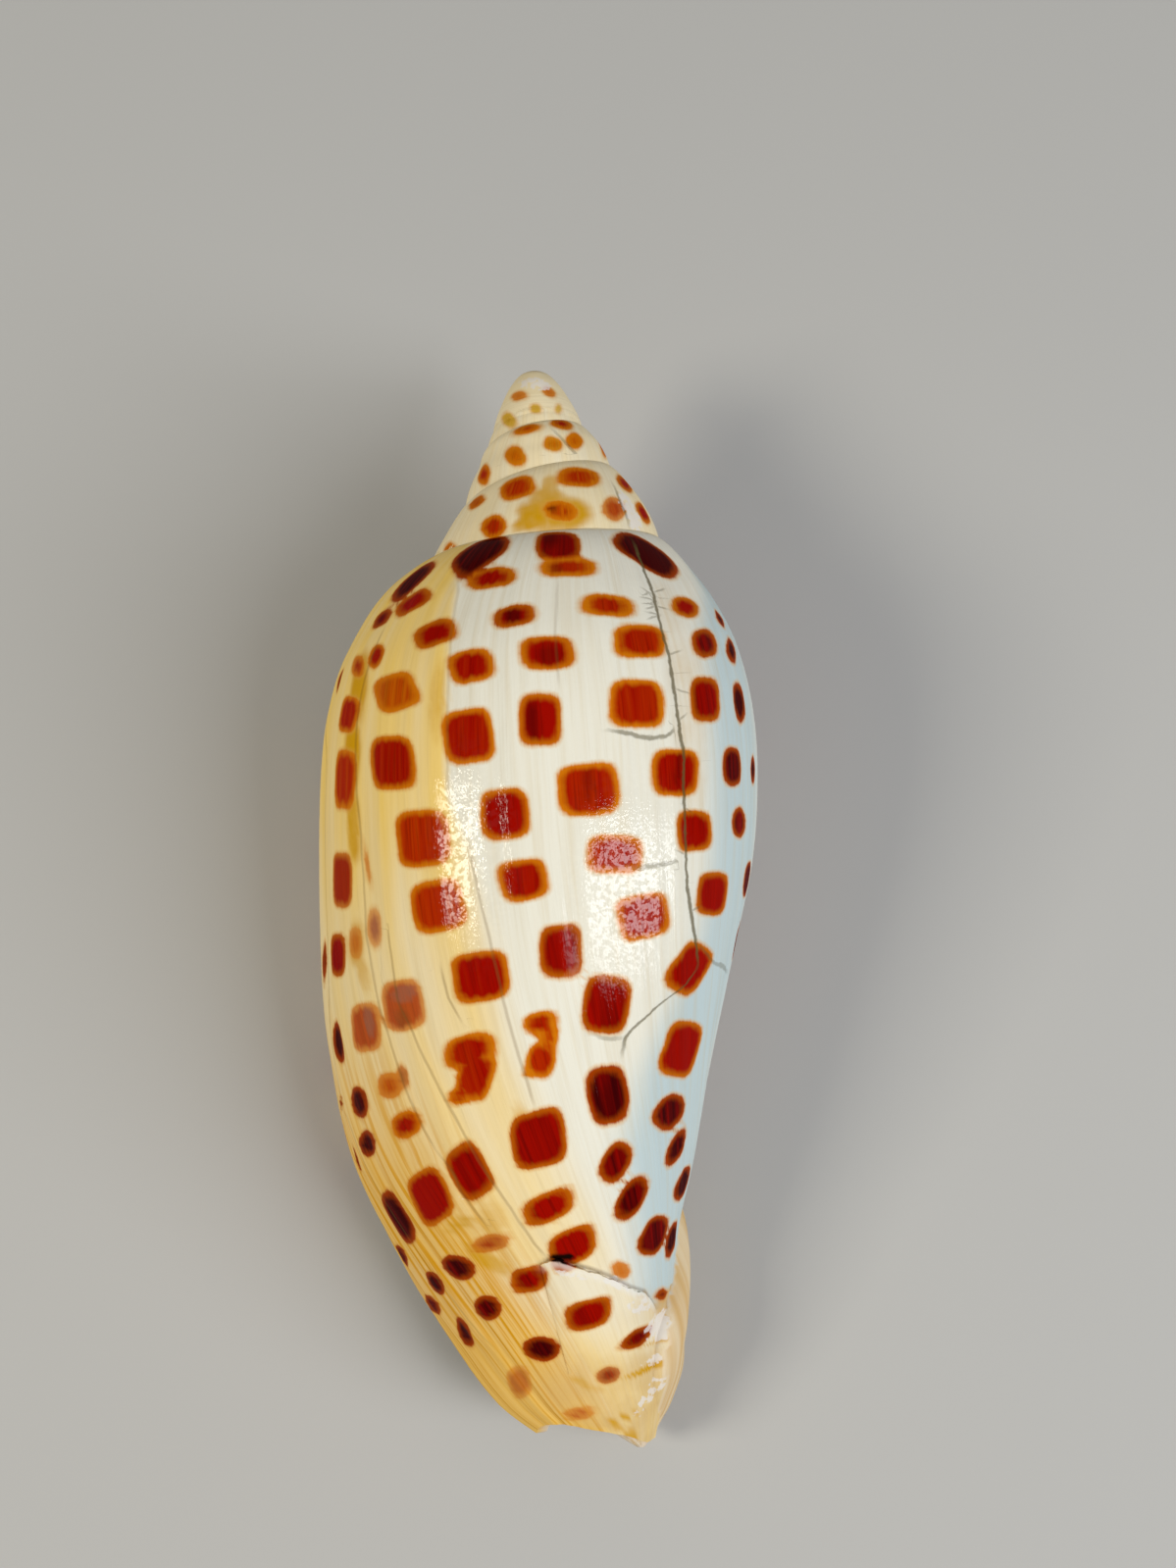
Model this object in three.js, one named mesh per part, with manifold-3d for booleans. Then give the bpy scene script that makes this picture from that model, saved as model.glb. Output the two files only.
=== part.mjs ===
// A junonia shell lying on its aperture, spire towards +Y and back upwards.
// Millimetres, +Z up, origin at the middle of its box, on the surface that it lies on.

import * as THREE from "three";
import { mergeVertices } from "three/addons/utils/BufferGeometryUtils.js";
import Module from "manifold-3d";

// Driving dimensions.
// A place on the shell has an axial distance from the apex along the coiling axis, a radius from that axis, and a
// bearing round it: 90 is the belly, 180 the left side, 270 the back and 360 the right side. The turn angle of a
// place is how far it grew before the lip: 0 at the lip, -360 one whorl earlier.
const FULL_TURN = 360;
const HALF_TURN = FULL_TURN / 2;
const LIP_BEARING = 151;
const LEFT_SIDE = LIP_BEARING - HALF_TURN; // turn angle of the left side of the last whorl
const RIGHT_SIDE = LIP_BEARING - FULL_TURN; // turn angle of its right side, half a turn earlier
const WIDENING = 1.66; // growth of the radius in a whorl of the spire
const LENGTHENING = 1.75; // growth of the axial distance in a whorl of the spire
const FLARE = 0.6; // share of the growth that goes on from the left side to the lip

// [axial distance, radius] of the last whorl, on its left side and on its right side.
const LEFT_OUTLINE = [
  [9.4, 4.2],
  [10.4, 6.7],
  [11.1, 8.3],
  [12.2, 9.85],
  [14, 11.35],
  [17, 13.05],
  [21, 14.1],
  [27, 14.8],
  [35, 15.25],
  [40, 15.0],
  [45, 14.1],
  [50, 12.1],
  [55, 9.7],
  [59, 7.55],
  [61, 5.4],
  [62, 4.1],
];
const RIGHT_OUTLINE = [
  [9.4, 4.3],
  [10.4, 6.35],
  [11.2, 7.15],
  [12.4, 8.0],
  [14, 9.0],
  [16.5, 10.05],
  [20, 10.7],
  [24, 10.7],
  [29, 9.95],
  [34, 8.35],
  [40, 6.2],
  [46, 4.35],
  [50, 3.1],
  [56, 2.2],
  [62, 1.6],
];
// [axial distance, radius] of the columella, which ends as the tip beside the canal.
const COLUMELLA_OUTLINE = [
  [4, 0.8],
  [20, 1.5],
  [34, 2.5],
  [44, 2.95],
  [50, 3.4],
  [54, 3.65],
  [56, 3.6],
  [58, 3.3],
  [60, 2.2],
  [61, 1.55],
  [62, 0.75],
  [62.5, 0.25],
];
const COLUMELLA_BEND = { from: 56, to: 62.5, shift: 1 }; // its tip leans to the right
// The fasciole, a low swelling that winds back from the canal round the columella: [bearing, axial distance].
const FASCIOLE_PATH = [
  [274, 58],
  [312, 55],
  [360, 51.8],
  [402, 49.6],
  [450, 47.6],
  [500, 46],
];
const FASCIOLE = { height: 1.25, halfWidth: 3.2, fadesOver: 40 };
// [axial distance, degrees] by which a growth line, and so the lip, lags behind its turn angle.
const GROWTH_LAG = [
  [9.4, 7],
  [14, 1],
  [20, 0],
  [31, 0],
  [40, 4],
  [46, 10],
  [52, 20],
  [57, 31],
  [62, 46],
];
// [bearing, axial distance] of the front edge of the last whorl, with the notch of the canal.
const FRONT_EDGE = [
  [120, 61.1],
  [195, 61.1],
  [222, 60.7],
  [250, 61.4],
  [270, 61.7],
  [300, 61.9],
];
// [axial distance, radius] of the rounded nucleus at the apex, and how far it sits to the left.
const NUCLEUS_OUTLINE = [
  [0, 0],
  [0.12, 0.55],
  [0.5, 1.1],
  [1, 1.5],
  [1.7, 1.93],
  [2.5, 2.32],
  [3.3, 2.6],
  [3.8, 2.55],
  [4.2, 2.1],
  [4.3, 0],
];
const NUCLEUS_SHIFT = 0.25;
const FIRST_TURN = -1300; // where the spire comes out of the nucleus
const CORE_RADIUS = 0.6; // solid filling along the axis

const WALL = { atLip: 0.55, inside: 1.15, thickensOver: 60 };
const HOLLOW = { deepEnd: -292, taper: 60, beyondLip: 24, top: 11.4, below: 64 };
const CANAL = { openTo: -104, closedAt: -154, closedBelow: 51 }; // it is open in front up to this turn angle
const UNCUT_TURN = -300; // the last whorl is solid behind this turn angle

const FOLDS = { count: 4, first: 34.5, spacing: 3.5, radius: 0.75, stretch: 1.3, sunk: 0.35, from: -590, to: -312 };

// The healed break: a ledge on the back near the front end, [bearing, axial distance] along its edge.
const LEDGE_EDGE = [
  [241, 52.2],
  [250, 51.5],
  [262, 51.7],
  [276, 52.6],
  [291, 53.7],
  [306, 55.2],
];
const LEDGE = { height: 0.42, fadesOver: 6.5, backing: 0.5 };

// How it lies: the axis leans in plan, the apex is raised, and the shell is rolled onto its lip.
const LEAN = 4.8;
const RAISE = 9.6;
const ROLL = 1.2;
const REST_FLATS = 0.15; // how deep the worn flats are that it rests on
const GROUND = { width: 80, length: 120, depth: 10 };

const CREAM = new THREE.Color(0.86, 0.76, 0.55);

const wasm = await Module();
wasm.setup();

const { clamp, degToRad, lerp, smoothstep } = THREE.MathUtils;

// A smooth curve through [place, value] points, level outside them.
function curveThrough(points) {
  const slopes = points.map((point, i) => {
    const before = points[Math.max(i - 1, 0)];
    const after = points[Math.min(i + 1, points.length - 1)];
    return (after[1] - before[1]) / (after[0] - before[0]);
  });
  return (place) => {
    if (place <= points[0][0]) return points[0][1];
    const next = points.findIndex((point) => point[0] > place);
    if (next < 0) return points[points.length - 1][1];
    const [x0, y0] = points[next - 1];
    const [x1, y1] = points[next];
    const width = x1 - x0;
    const u = (place - x0) / width;
    const bend = width * ((slopes[next - 1] - (y1 - y0) / width) * (1 - u) + ((y1 - y0) / width - slopes[next]) * u);
    return lerp(y0, y1, u) + u * (1 - u) * bend;
  };
}

const leftRadius = curveThrough(LEFT_OUTLINE);
const rightRadius = curveThrough(RIGHT_OUTLINE);
const pillarRadius = curveThrough(COLUMELLA_OUTLINE);
const fasciolePlace = curveThrough(FASCIOLE_PATH);
const growthLag = curveThrough(GROWTH_LAG);
const frontEdge = curveThrough(FRONT_EDGE);
const ledgeEdge = curveThrough(LEDGE_EDGE);

// How long the shell was at a turn angle, against its length when the right side grew.
function lengthScale(turn) {
  return turn < RIGHT_SIDE ? LENGTHENING ** ((turn - RIGHT_SIDE) / FULL_TURN) : 1;
}

// Radius of the outside of a whorl at a turn angle and an axial distance.
function wallRadius(turn, axial) {
  if (turn <= RIGHT_SIDE) {
    const scale = WIDENING ** ((turn - RIGHT_SIDE) / FULL_TURN);
    return scale * rightRadius(axial / lengthScale(turn));
  }
  const grown = (turn - RIGHT_SIDE) / (LEFT_SIDE - RIGHT_SIDE);
  const share = grown < 1 ? grown : 1 + (grown - 1) * FLARE;
  return lerp(rightRadius(axial), leftRadius(axial), share);
}

// Radius of the columella with the fasciole, for a bearing from the notch of the canal backwards.
function columellaRadius(bearing, axial) {
  const first = FASCIOLE_PATH[0][0];
  const last = FASCIOLE_PATH[FASCIOLE_PATH.length - 1][0];
  const around = first + ((((bearing - first) % FULL_TURN) + FULL_TURN) % FULL_TURN);
  const faded =
    smoothstep(around, first, first + FASCIOLE.fadesOver) * (1 - smoothstep(around, last, last + FASCIOLE.fadesOver));
  const across = (axial - fasciolePlace(around)) / FASCIOLE.halfWidth;
  return pillarRadius(axial) + FASCIOLE.height * faded * Math.exp(-across * across);
}

// The point at a bearing round the axis, with the apex at the origin and the axis along -Y.
function placeAt(bearing, axial, radius) {
  const angle = degToRad(bearing);
  return new THREE.Vector3(radius * Math.cos(angle), -axial, -radius * Math.sin(angle));
}

// Turns a geometry into a solid whose faces look outwards.
function solidOf(geometry) {
  geometry.deleteAttribute("normal");
  geometry.deleteAttribute("uv");
  const merged = mergeVertices(geometry, 1e-5);
  const mesh = {
    numProp: 3,
    vertProperties: new Float32Array(merged.attributes.position.array),
    triVerts: new Uint32Array(merged.index.array),
  };
  const solid = new wasm.Manifold(new wasm.Mesh(mesh));
  if (solid.volume() > 0) return solid;
  mesh.triVerts.reverse();
  return new wasm.Manifold(new wasm.Mesh(mesh));
}

function geometryOf(positions, faces) {
  const geometry = new THREE.BufferGeometry();
  geometry.setAttribute("position", new THREE.Float32BufferAttribute(positions, 3));
  geometry.setIndex(faces);
  return geometry;
}

// A closed block between an inner and an outer skin. pointAt(i, j, outside) gives its corners.
function blockSolid(steps, rows, pointAt) {
  const points = [];
  const faces = [];
  const index = (i, j, outside) => (i * (rows + 1) + j) * 2 + outside;
  for (let i = 0; i <= steps; i++) {
    for (let j = 0; j <= rows; j++) {
      points.push(...pointAt(i, j, 0).toArray(), ...pointAt(i, j, 1).toArray());
    }
  }
  const quad = (a, b, c, d) => faces.push(a, b, c, a, c, d);
  for (let i = 0; i < steps; i++) {
    for (let j = 0; j < rows; j++) {
      quad(index(i, j, 1), index(i, j + 1, 1), index(i + 1, j + 1, 1), index(i + 1, j, 1));
      quad(index(i, j, 0), index(i + 1, j, 0), index(i + 1, j + 1, 0), index(i, j + 1, 0));
    }
    quad(index(i, 0, 0), index(i, 0, 1), index(i + 1, 0, 1), index(i + 1, 0, 0));
    quad(index(i, rows, 0), index(i + 1, rows, 0), index(i + 1, rows, 1), index(i, rows, 1));
  }
  for (let j = 0; j < rows; j++) {
    quad(index(0, j, 0), index(0, j + 1, 0), index(0, j + 1, 1), index(0, j, 1));
    quad(index(steps, j, 0), index(steps, j, 1), index(steps, j + 1, 1), index(steps, j + 1, 0));
  }
  return solidOf(geometryOf(points, faces));
}

// Rows of a whorl, as axial distances on the right side: close together at the suture and at the front.
const ROWS = [9.4, 10.2, 10.9, 11.8, 13, 14.7, 17, 20, 23.5, 27, 30.5, 34, 37.5, 41, 44, 47, 50, 53, 56, 58.5, 60, 61.1];
const FRONT_ROW = ROWS[ROWS.length - 1];
const EDGED_ROWS = 6; // the last rows, which bend to follow the front edge

function bearingOf(turn, row) {
  return LIP_BEARING - turn + growthLag(row);
}

// Axial distance of a row: the rows shrink with the spire, and the last one follows the front edge.
function rowAxial(turn, row) {
  if (turn <= RIGHT_SIDE) return row * lengthScale(turn);
  const share = smoothstep(row, ROWS[ROWS.length - EDGED_ROWS], FRONT_ROW);
  return row + share * (frontEdge(bearingOf(turn, FRONT_ROW)) - FRONT_ROW);
}

// A stretch of whorl, solid from the axis out to the wall, over its first rows.
function whorlSolid(fromTurn, toTurn, steps, rowCount) {
  return blockSolid(steps, rowCount - 1, (i, j, outside) => {
    const turn = lerp(fromTurn, toTurn, i / steps);
    const bearing = bearingOf(turn, ROWS[j]);
    const axial = rowAxial(turn, ROWS[j]);
    const radius = outside ? Math.max(wallRadius(LIP_BEARING - bearing, axial), CORE_RADIUS) : CORE_RADIUS / 2;
    return placeAt(bearing, axial, radius);
  });
}

// The hollow behind the aperture, which runs out past the lip and past the front of the canal.
function hollowSolid() {
  const steps = 38;
  const rows = 18;
  const slimmest = 0.03; // share of the depth at which the deep end is blunt
  return blockSolid(steps, rows, (i, j, outside) => {
    const turn = lerp(HOLLOW.deepEnd, HOLLOW.beyondLip, i / steps);
    const scale = lengthScale(turn);
    const opened = smoothstep(turn, CANAL.closedAt, CANAL.openTo);
    const bottom = lerp(CANAL.closedBelow * scale, HOLLOW.below, opened);
    const axial = lerp(HOLLOW.top * scale, bottom, j / rows);
    const bearing = bearingOf(turn, Math.min(axial / scale, FRONT_ROW));
    const wall = lerp(WALL.atLip, WALL.inside, smoothstep(-turn, 0, WALL.thickensOver));
    const depth = clamp((turn - HOLLOW.deepEnd) / HOLLOW.taper, slimmest, 1);
    const outer = (wallRadius(LIP_BEARING - bearing, axial) - wall) * Math.sqrt(depth);
    return placeAt(bearing, axial, outside ? Math.max(outer, 2 * CORE_RADIUS) : CORE_RADIUS);
  });
}

// The columella, a turned pillar with the fasciole round it, whose front end leans over.
function columellaSolid() {
  const first = COLUMELLA_OUTLINE[0][0];
  const last = COLUMELLA_OUTLINE[COLUMELLA_OUTLINE.length - 1][0];
  const profile = [new THREE.Vector2(0, first)];
  const rings = 26;
  const sides = 26;
  const frontward = 0.55; // crowds the rings towards the front end
  for (let i = 0; i <= rings; i++) profile.push(new THREE.Vector2(1, lerp(first, last, (i / rings) ** frontward)));
  profile.push(new THREE.Vector2(0, last));
  const geometry = new THREE.LatheGeometry(profile, sides);
  const positions = geometry.getAttribute("position");
  for (let i = 0; i < positions.count; i++) {
    const axial = positions.getY(i);
    const bearing = THREE.MathUtils.radToDeg(Math.atan2(-positions.getZ(i), positions.getX(i)));
    const radius = Math.hypot(positions.getX(i), positions.getZ(i)) * columellaRadius(bearing, axial);
    const bent = Math.max(axial - COLUMELLA_BEND.from, 0) / (COLUMELLA_BEND.to - COLUMELLA_BEND.from);
    const place = placeAt(bearing, axial, radius);
    positions.setXYZ(i, place.x + COLUMELLA_BEND.shift * bent ** 2, place.y, place.z);
  }
  return solidOf(geometry);
}

function nucleusSolid() {
  const sides = 24;
  const profile = NUCLEUS_OUTLINE.map(([axial, radius]) => new THREE.Vector2(radius, -axial));
  const geometry = new THREE.LatheGeometry(profile, sides);
  geometry.translate(-NUCLEUS_SHIFT, 0, 0);
  return solidOf(geometry);
}

// One oblique fold, a rib that winds up the columella into the shell.
function foldSolid(number) {
  const steps = 26;
  const sides = 7;
  const blunt = 0.4; // steps by which the taper reaches past each end
  const start = FOLDS.first + number * FOLDS.spacing;
  const points = [];
  const faces = [];
  for (let i = 0; i <= steps; i++) {
    const turn = lerp(FOLDS.from, FOLDS.to, i / steps);
    const bearing = LIP_BEARING - turn;
    const axial = start * (lengthScale(turn) / lengthScale(-FULL_TURN));
    const surface = Math.max(wallRadius(turn, axial), columellaRadius(bearing, axial));
    const size = FOLDS.radius * Math.sqrt(Math.sin((Math.PI * (i + blunt)) / (steps + 2 * blunt)));
    const middle = surface - size * FOLDS.sunk;
    for (let k = 0; k < sides; k++) {
      const angle = (2 * Math.PI * k) / sides;
      const place = placeAt(bearing, axial + size * FOLDS.stretch * Math.cos(angle), middle + size * Math.sin(angle));
      points.push(...place.toArray());
    }
  }
  for (let i = 0; i < steps; i++) {
    for (let k = 0; k < sides; k++) {
      const a = i * sides + k;
      const b = i * sides + ((k + 1) % sides);
      faces.push(a, b, b + sides, a, b + sides, a + sides);
    }
  }
  for (let k = 1; k < sides - 1; k++) {
    faces.push(0, k + 1, k, steps * sides, steps * sides + k, steps * sides + k + 1);
  }
  return solidOf(geometryOf(points, faces));
}

// The healed ledge, a thin plate that stands proud of the wall in front of the break.
function ledgeSolid() {
  const steps = 16;
  const rows = 5;
  const from = LEDGE_EDGE[0][0];
  const to = LEDGE_EDGE[LEDGE_EDGE.length - 1][0];
  return blockSolid(steps, rows, (i, j, outside) => {
    const bearing = lerp(from, to, i / steps);
    const axial = ledgeEdge(bearing) + (LEDGE.fadesOver * j) / rows;
    const wall = wallRadius(LIP_BEARING - bearing, axial);
    const across = Math.sqrt(Math.sin((Math.PI * (i + 1)) / (steps + 2)));
    const raised = LEDGE.height * across * (1 - (j / rows) ** 2);
    return placeAt(bearing, axial, outside ? wall + raised : wall - LEDGE.backing);
  });
}

function buildShell() {
  const allRows = ROWS.length;
  const openSteps = 42;
  const solidSteps = 8;
  let shell = whorlSolid(UNCUT_TURN, 0, openSteps, allRows).subtract(hollowSolid());
  shell = shell.add(whorlSolid(-FULL_TURN, UNCUT_TURN, solidSteps, allRows));
  // Half turns of the spire, as [whorls before the lip, steps, rows]: the earlier ones show less of their height.
  const halfTurns = [
    [1, 18, allRows],
    [1.5, 18, allRows],
    [2, 15, 11],
    [2.5, 15, 11],
    [3, 12, 10],
  ];
  for (const [whorls, steps, rows] of halfTurns) {
    const to = -whorls * FULL_TURN;
    shell = shell.add(whorlSolid(Math.max(to - HALF_TURN, FIRST_TURN), to, steps, rows));
  }
  shell = shell.add(columellaSolid()).add(nucleusSolid()).add(ledgeSolid());
  for (let number = 0; number < FOLDS.count; number++) shell = shell.add(foldSolid(number));
  return shell;
}

// Turns the shell to how it lies, and cuts the small flats that it rests on.
function layDown(solid) {
  const mesh = solid.getMesh();
  const geometry = geometryOf(mesh.vertProperties, [...mesh.triVerts]);
  geometry.rotateY(degToRad(ROLL));
  geometry.rotateX(degToRad(RAISE));
  geometry.rotateZ(degToRad(LEAN));
  geometry.computeBoundingBox();
  const middle = geometry.boundingBox.getCenter(new THREE.Vector3());
  geometry.translate(-middle.x, -middle.y, -geometry.boundingBox.min.z - REST_FLATS);
  const ground = new THREE.BoxGeometry(GROUND.width, GROUND.length, GROUND.depth);
  ground.translate(0, 0, -GROUND.depth / 2);
  const cut = solidOf(geometry).subtract(solidOf(ground)).getMesh();
  return geometryOf(cut.vertProperties, [...cut.triVerts]);
}

const shellGeometry = layDown(buildShell());
shellGeometry.computeVertexNormals();
const shell = new THREE.Mesh(
  shellGeometry,
  new THREE.MeshStandardMaterial({ color: CREAM, roughness: 0.25, metalness: 0 }),
);
shell.name = "shell";

const group = new THREE.Group();
group.add(shell);

export default group;
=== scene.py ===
"""The looks of a junonia shell lying on its mouth, seen from above."""
import math

import bpy
import numpy as np
from mathutils import Matrix


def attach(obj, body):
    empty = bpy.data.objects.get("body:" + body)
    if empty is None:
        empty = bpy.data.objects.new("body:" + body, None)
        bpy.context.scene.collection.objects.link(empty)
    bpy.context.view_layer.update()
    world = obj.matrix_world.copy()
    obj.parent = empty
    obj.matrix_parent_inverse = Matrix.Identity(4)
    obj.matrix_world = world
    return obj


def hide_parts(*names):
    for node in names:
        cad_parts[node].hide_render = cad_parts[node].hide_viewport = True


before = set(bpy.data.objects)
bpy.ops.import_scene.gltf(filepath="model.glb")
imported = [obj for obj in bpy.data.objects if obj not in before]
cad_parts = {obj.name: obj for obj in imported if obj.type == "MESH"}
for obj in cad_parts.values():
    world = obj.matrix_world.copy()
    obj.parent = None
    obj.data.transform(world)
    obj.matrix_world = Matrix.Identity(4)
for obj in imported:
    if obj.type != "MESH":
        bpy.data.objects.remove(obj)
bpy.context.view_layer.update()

MM = 0.001
FULL_TURN = 360.0

# The driving dimensions, in millimetres and degrees. A place has an axial distance from the apex, a radius from
# the coiling axis and a bearing round it: 90 is the belly, 180 the left side, 270 the back, 360 the right side.
# Its turn angle is how far it grew before the lip: 0 at the lip, -360 one whorl earlier. Outlines are lists of
# axial distance and radius, edges of bearing and axial distance, and lags of axial distance and degrees.
LIP_BEARING = 151.0
LEFT_SIDE = LIP_BEARING - 180.0
RIGHT_SIDE = LIP_BEARING - 360.0
# Factors for each whorl of the spire, and how much the last stretch before the lip flares.
WIDENING = 1.66
LENGTHENING = 1.75
FLARE = 0.6
LEFT_OUTLINE = [
    (9.4, 4.2), (10.4, 6.7), (11.1, 8.3), (12.2, 9.85), (14, 11.35), (17, 13.05), (21, 14.1), (27, 14.8),
    (35, 15.25), (40, 15.0), (45, 14.1), (50, 12.1), (55, 9.7), (59, 7.55), (61, 5.4), (62, 4.1),
]
RIGHT_OUTLINE = [
    (9.4, 4.3), (10.4, 6.35), (11.2, 7.15), (12.4, 8.0), (14, 9.0), (16.5, 10.05), (20, 10.7), (24, 10.7),
    (29, 9.95), (34, 8.35), (40, 6.2), (46, 4.35), (50, 3.1), (56, 2.2), (62, 1.6),
]
COLUMELLA_OUTLINE = [
    (4, 0.8), (20, 1.5), (34, 2.5), (44, 2.95), (50, 3.4), (54, 3.75), (56, 3.9), (58, 3.7), (60, 2.6),
    (61, 1.75), (62, 0.8), (62.5, 0.25),
]
COLUMELLA_BEND = dict(start=56.0, end=62.5, shift=1.0)
FASCIOLE_PATH = [(274, 58), (312, 55), (360, 50.0), (402, 48.9), (450, 47.6), (500, 46)]
FASCIOLE = dict(height=1.25, half_width=3.7, fades_over=40.0)
GROWTH_LAG = [(9.4, 7), (14, 1), (20, 0), (31, 0), (40, 4), (46, 10), (52, 20), (57, 31), (62, 46)]
FRONT_EDGE = [
    (120, 61.1), (185, 61.05), (200, 60.8), (208, 60.4), (216, 60.1), (232, 60.0), (246, 60.4), (270, 61.0),
    (290, 61.6), (300, 61.8),
]
NUCLEUS_OUTLINE = [
    (-0.12, 0), (-0.03, 0.5), (0.2, 0.93), (0.6, 1.3), (1.1, 1.65), (1.8, 2.02), (2.5, 2.35), (3.3, 2.6),
    (3.8, 2.55), (4.2, 2.1), (4.3, 0),
]
# How far the nucleus sits to the left, how the spire bends and swells, and the turn angle at which it starts.
# Points and marks of the nucleus have a turn angle of their own.
NUCLEUS_SHIFT = 0.24
NUCLEUS_WIDEST = 3.3
NUCLEUS_END = 4.2
SPIRE_BEND = dict(share=0.24, start=4.0, end=14.0)
SPIRE_SWELL = dict(height=0.2, lean=0.9, start=4.4, end=5.7)
FIRST_TURN = -1300.0
NUCLEUS_TURN = -1220.0
CORE_RADIUS = 0.6
# The rows of a whorl's wall: the first and last, how crowded they are at the suture, and where they begin to
# follow the front edge. The wall ends a little past the last one.
FIRST_ROW = 9.4
FRONT_ROW = 61.1
CROWDED = 0.28
EDGED_FROM = 47.0
WALL_END = 61.9
WALL = dict(at_lip=0.55, inside=1.15, thickens_over=60.0)
HOLLOW = dict(deep_end=-292.0, taper=60.0, beyond_lip=24.0, top=11.4, below=64.0, least_depth=0.03)
CANAL = dict(open_to=-104.0, closed_at=-154.0, closed_below=51.0)
UNCUT_TURN = -300.0  # the hollow is cut out of what grew after this
FOLDS = dict(count=4, first=34.5, spacing=3.5, radius=0.75, stretch=1.3, sunk=0.35, start=-590.0, end=-312.0)
LEDGE = dict(height=0.5, falls=0.5, fades_over=6.5, backing=0.5)
# How it lies: the axis leans in plan, the apex is raised, and the shell is rolled onto its lip.
LEAN = 4.8
RAISE = 9.6
ROLL = 1.2
REST_FLATS = 0.15
# Relief: uneven waves along the growth lines, the step at a scar, and chips of the lip in degrees.
WAVES = dict(periods=(31.0, 19.0, 12.5, 8.6, 6.9), height=0.035, more_at_lip=0.06, spire_share=0.6,
             lip_turns=(-70, -5), first_rows=(10.4, 13))
SCAR_STEP = dict(rises=(-0.3, 0.3), falls=(0.5, 4.5))
CHIPS = dict(periods=(9.0, 5.3, 3.1, 1.7), mean=1.1, height=0.2)
# Stretches of the spire: whorls before the lip at their last end, steps, rows, and the share of the rows built.
SPIRE_STRETCHES = [(1.0, 110, 80, 1.0), (1.5, 100, 60, 0.8), (2.0, 80, 50, 0.45), (2.5, 70, 44, 0.45),
                   (3.0, 56, 40, 0.4)]
# Areas that hold spots the photograph doesn't show: whorl, first and last turn angle, and rows.
HIDDEN_STRETCHES = [(0, -322.0, -206.0, np.arange(12.5, 57, 3.3)), (0, -22.0, -4.0, np.arange(13, 47, 3.3)),
                    (1, -378.0, -222.0, (11.4, 14.6)), (2, -378.0, -222.0, (11.4, 14.6))]

# The camera, and the photograph's frame.
FRAME_WIDTH = 1199.0
FRAME_HEIGHT = 1599.0
CAMERA = dict(azimuth=-0.6, elevation=78.5, roll=0.7, distance=140.0, pixels_per_mm=18.02)
TARGET = np.array([2.92, 6.24, 12.8])
LEAST_PIXELS_PER_MM = 4.5  # no mark counts as more foreshortened than this
SENSOR_HEIGHT = 24.0
CLIPPED = (0.01, 10.0)
WINDOW_DISTANCE = 420.0
FLOOR_REACH = 400.0
SHARP_FROM = 40.0

# How places and marks are found: steps, reaches and gaps in mm, and turn angles in degrees.
BEND_STEPS = 5
RAY_REACH = 16
RAY_STEP = 0.1
PIXEL_STEP = 0.02
TINY = 1e-9
FAR = 99.0
ON_WALL = 0.08
ON_LEDGE = 0.6
ON_PILLAR = 0.6
ON_NUCLEUS = 4.4
LEDGE_AREA = dict(from_axial=50, first=238, last=308)
QUARTER_TURN = 90
LINE_TURNS = 130
LINE_END_FADE = (-0.8, 0.4)
MARK_FADE = (0.55, 1.35)
GLAZE = dict(turns=(313, 322), axial=(12.5, 14.5))
PILLAR_FROM = 44
MM_PER_DEGREE = 0.22
TICK_DARKNESS = 0.5
SPIRE_WARMTH = 0.45

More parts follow.
